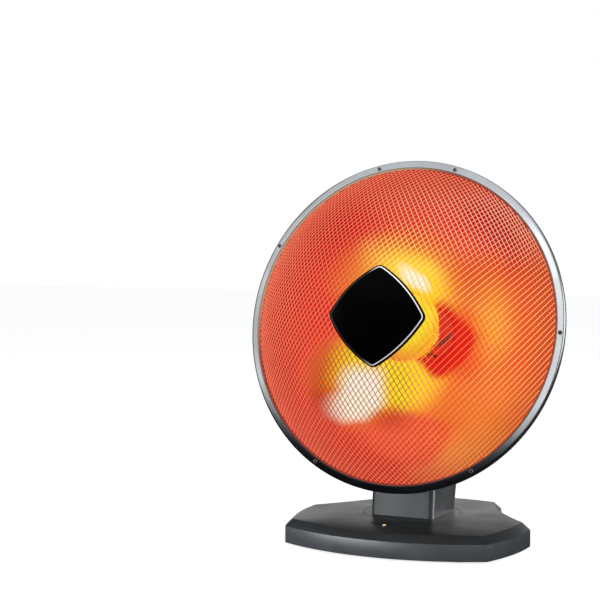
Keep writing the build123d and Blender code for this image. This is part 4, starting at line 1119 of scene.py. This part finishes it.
def amber():
    """Pale amber middle in a dark red-brown round."""
    sh = Shader("amber_lens")
    facets = sh.cloud(900, 1)
    low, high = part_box("indicator_lens")
    middle = ((low[0] + high[0]) / 2, (low[1] + high[1]) / 2, 0)
    place = sh.add("TexCoord", {}, "Object")
    level = sh.add("VectorMath", {0: place, 1: (1, 1, 0)}, operation="MULTIPLY")
    away = sh.add("VectorMath", {0: level, 1: middle}, "Value", operation="DISTANCE")
    lit = sh.remap(away, LIT_RADIUS, DARK_RADIUS, 1, 0, smooth=True)
    surface = sh.principled(
        Base_Color=sh.mix(lit, srgb(52, 20, 14), srgb(240, 190, 130)),
        Roughness=sh.remap(facets, 0, 1, 0.12, 0.22),
        Emission_Color=sh.mix(sh.remap(facets, 0.35, 0.65), srgb(255, 226, 176), srgb(255, 190, 110)),
        Emission_Strength=sh.math("MULTIPLY", lit, 2.2),
        Coat_Weight=0.6,
    )
    return sh.finish(surface)


FINISH["amber_lens"] = amber()

# %% [markdown]
# ## Everything else keeps its node
# The pieces inside have the right shape already. Each takes the finish that its record names,
# except the cap's rods, which take dark black steel.

# %% Remaining nodes
OWN_FINISH = {"cap_rods": "black_steel"}

kept = 0
for entry in frame["record"]["subparts"]:
    node = nodes[entry["node"]]
    finish = OWN_FINISH.get(entry["node"], entry["material_slot"])
    if finish in FINISH and not node.hide_render:
        node.data.materials.clear()
        node.data.materials.append(FINISH[finish])
        kept += 1
print("nodes kept:", kept)

# %% [markdown]
# ## Floor and backdrop
# A white studio would also whiten everything that the black plastic mirrors. So floor and world
# are white only where the camera looks straight at them, and dim for every other ray.

# %% Floor
FLOOR_REACH, FLOOR_LIFT = 6.0, 0.82


def pale_floor():
    """A pale floor that keeps the shadow and stays dim in reflections."""
    sh = Shader("floor")
    seen = sh.add("LightPath", {}, "Is Camera Ray")
    colour = sh.mix(sh.cloud(3, 2), srgb(240, 240, 240), srgb(244, 244, 244))
    bright = sh.add("BsdfDiffuse", {"Color": colour})
    lift = sh.add("Emission", {"Color": (1, 1, 1, 1), "Strength": FLOOR_LIFT})
    shown = sh.add("AddShader", {0: bright, 1: lift})
    dim = sh.add("BsdfDiffuse", {"Color": srgb(90, 92, 96)})
    return sh.finish(sh.add("MixShader", {0: seen, 1: dim, 2: shown}))


floor_mesh = bpy.data.meshes.new("floor")
corners = [(FLOOR_REACH * x, FLOOR_REACH * y, 0) for x, y in ((-1, -1), (1, -1), (1, 1), (-1, 1))]
floor_mesh.from_pydata(corners, [], [(0, 1, 2, 3)])
floor = bpy.data.objects.new("floor", floor_mesh)
floor_mesh.materials.append(pale_floor())
scene.collection.objects.link(floor)
print("floor corners:", len(corners))

# %% World
ROOM_LIGHT, ROOM_STRENGTH = (0.92, 0.96, 1, 1), 0.17

world = bpy.data.worlds.new("studio")
scene.world = world
world.use_nodes = True
sky = Tree(world.node_tree)
seen = sky.add("LightPath", {}, "Is Camera Ray")
room = sky.add("Background", {0: ROOM_LIGHT, 1: ROOM_STRENGTH})
white = sky.add("Background", {0: (1, 1, 1, 1)})
sky.end("ShaderNodeOutputWorld", sky.add("MixShader", {0: seen, 1: room, 2: white}))
print("room light:", ROOM_STRENGTH)

# %% [markdown]
# ## Lights
# Soft boxes stand round the heater, as in a studio. What the black plastic, the polished ring and
# the glowing head need is too different for one set of lamps, so light linking gives each group
# its own: low boxes in front for the base's walls, a strip behind for the sheen of its top, small
# ones at the right for the neck's edges, and panels that only the ring mirrors. The dish's glow
# lights the head alone.

# %% Soft boxes
def softbox(name, place, aim, width, height, power, colour=(1, 1, 1)):
    """A rectangular area light that looks at a point."""
    light = bpy.data.lights.new(name, "AREA")
    light.shape = "RECTANGLE"
    light.size, light.size_y = width, height
    light.energy = power
    light.color = colour
    obj = bpy.data.objects.new(name, light)
    obj.location = place
    obj.rotation_euler = (Vector(aim) - Vector(place)).to_track_quat("-Z", "Y").to_euler()
    scene.collection.objects.link(obj)
    return obj


plain_boxes = [
    softbox("left_box", (-1.9, -0.85, 0.65), (0, 0, 0.2), 1.3, 1.5, 13),
    softbox("right_box", (1.25, -2.1, 0.95), (0, 0, 0.2), 1.1, 1.5, 13),
    softbox("side_box", (2.0, 0.2, 0.7), (0, 0, 0.15), 1.0, 1.4, 12),
]
top_panel = softbox("top_panel", (0, -0.9, 2.1), (0, 0, 0.2), 3.4, 3.4, 26, (0.94, 0.97, 1))
print("plain boxes:", len(plain_boxes))


# %% Groups of pieces
def riding(*bodies):
    """All meshes that ride on these bodies."""
    meshes = [o for o in bpy.data.objects if o.type == "MESH"]
    return [o for o in meshes if (body_of(o) or [""])[0] in bodies]


base_pieces = riding("base", "control_knob", "tip_plunger")
neck_pieces = riding("neck")
black_pieces = base_pieces + neck_pieces
head_pieces = riding("head")
head_but_ring = [piece for piece in head_pieces if piece != ring]
print("below:", len(black_pieces), "head:", len(head_pieces))


# %% Light linking
def collected(name, pieces):
    """A collection of pieces, which light linking asks for."""
    group = bpy.data.collections.new(name)
    for piece in pieces:
        group.objects.link(piece)
    return group


def only_for(source, pieces, own_shadow=False):
    """Let a light, or a glowing piece, light these pieces and nothing else."""
    group = collected("lit_by_" + source.name, pieces)
    source.light_linking.receiver_collection = group
    if own_shadow:
        source.light_linking.blocker_collection = group


def not_for(source, pieces):
    """Keep a light off these pieces."""
    group = collected("kept_from_" + source.name, pieces)
    for entry in group.collection_objects:
        entry.light_linking.link_state = "EXCLUDE"
    source.light_linking.receiver_collection = group


# %% Lights for single groups
NECK_LIGHT = (0.92, 0.97, 1)
OWN_BOXES = [
    # pieces, whether only they shade it, name, place, aim, width, height, power, colour
    (base_pieces, False, "low_box", (-0.75, -1.2, 0.09), (0, -0.1, 0.02), 1.1, 0.16, 18),
    (neck_pieces, True, "neck_box", (-0.6, -1.3, 0.22), (0, 0, 0.08), 0.7, 0.4, 7, NECK_LIGHT),
    (black_pieces, False, "back_strip", (-0.4, 1.8, 0.35), (0, 0, 0.05), 2.6, 0.6, 3.8),
    (neck_pieces, True, "edge_box", (1.5, 0.25, 0.25), (0, 0, 0.08), 0.7, 0.5, 33),
    (base_pieces, False, "wall_box", (1.3, -0.25, 0.09), (0.1, 0, 0.02), 0.5, 0.14, 6),
    (neck_pieces, False, "rear_box", (0.85, 1.8, 0.35), (0.1, 0, 0.05), 0.8, 1.0, 8),
    ([ring], False, "ring_front", (0.05, -2.4, 0.98), (0.18, 0, 0.24), 1.1, 1.5, 6),
    ([ring], False, "ring_right", (1.9, 0.1, 0.4), (0.1, 0, 0.24), 3.4, 1.3, 22),
    ([ring], False, "ring_left", (-1.6, -1.7, 0.9), (-0.18, 0, 0.24), 0.9, 1.2, 2.8),
    ([ring], True, "ring_low", (-0.2, 0, -0.6), (0, 0, 0.1), 1.4, 1.4, 8),
    (head_but_ring, False, "back_box", (0.9, 2.2, 1.3), (0, 0, 0.25), 2.6, 2.2, 30),
    (head_but_ring, False, "back_left_box", (-1.9, 1.5, 0.7), (0, 0, 0.2), 1.2, 1.4, 14),
]
for pieces, own_shadow, name, *box in OWN_BOXES:
    only_for(softbox(name, *box), pieces, own_shadow)
for box in plain_boxes:
    not_for(box, [ring])
for source in (top_panel, dish, guard):
    only_for(source, head_pieces)
print("own boxes:", len(OWN_BOXES))
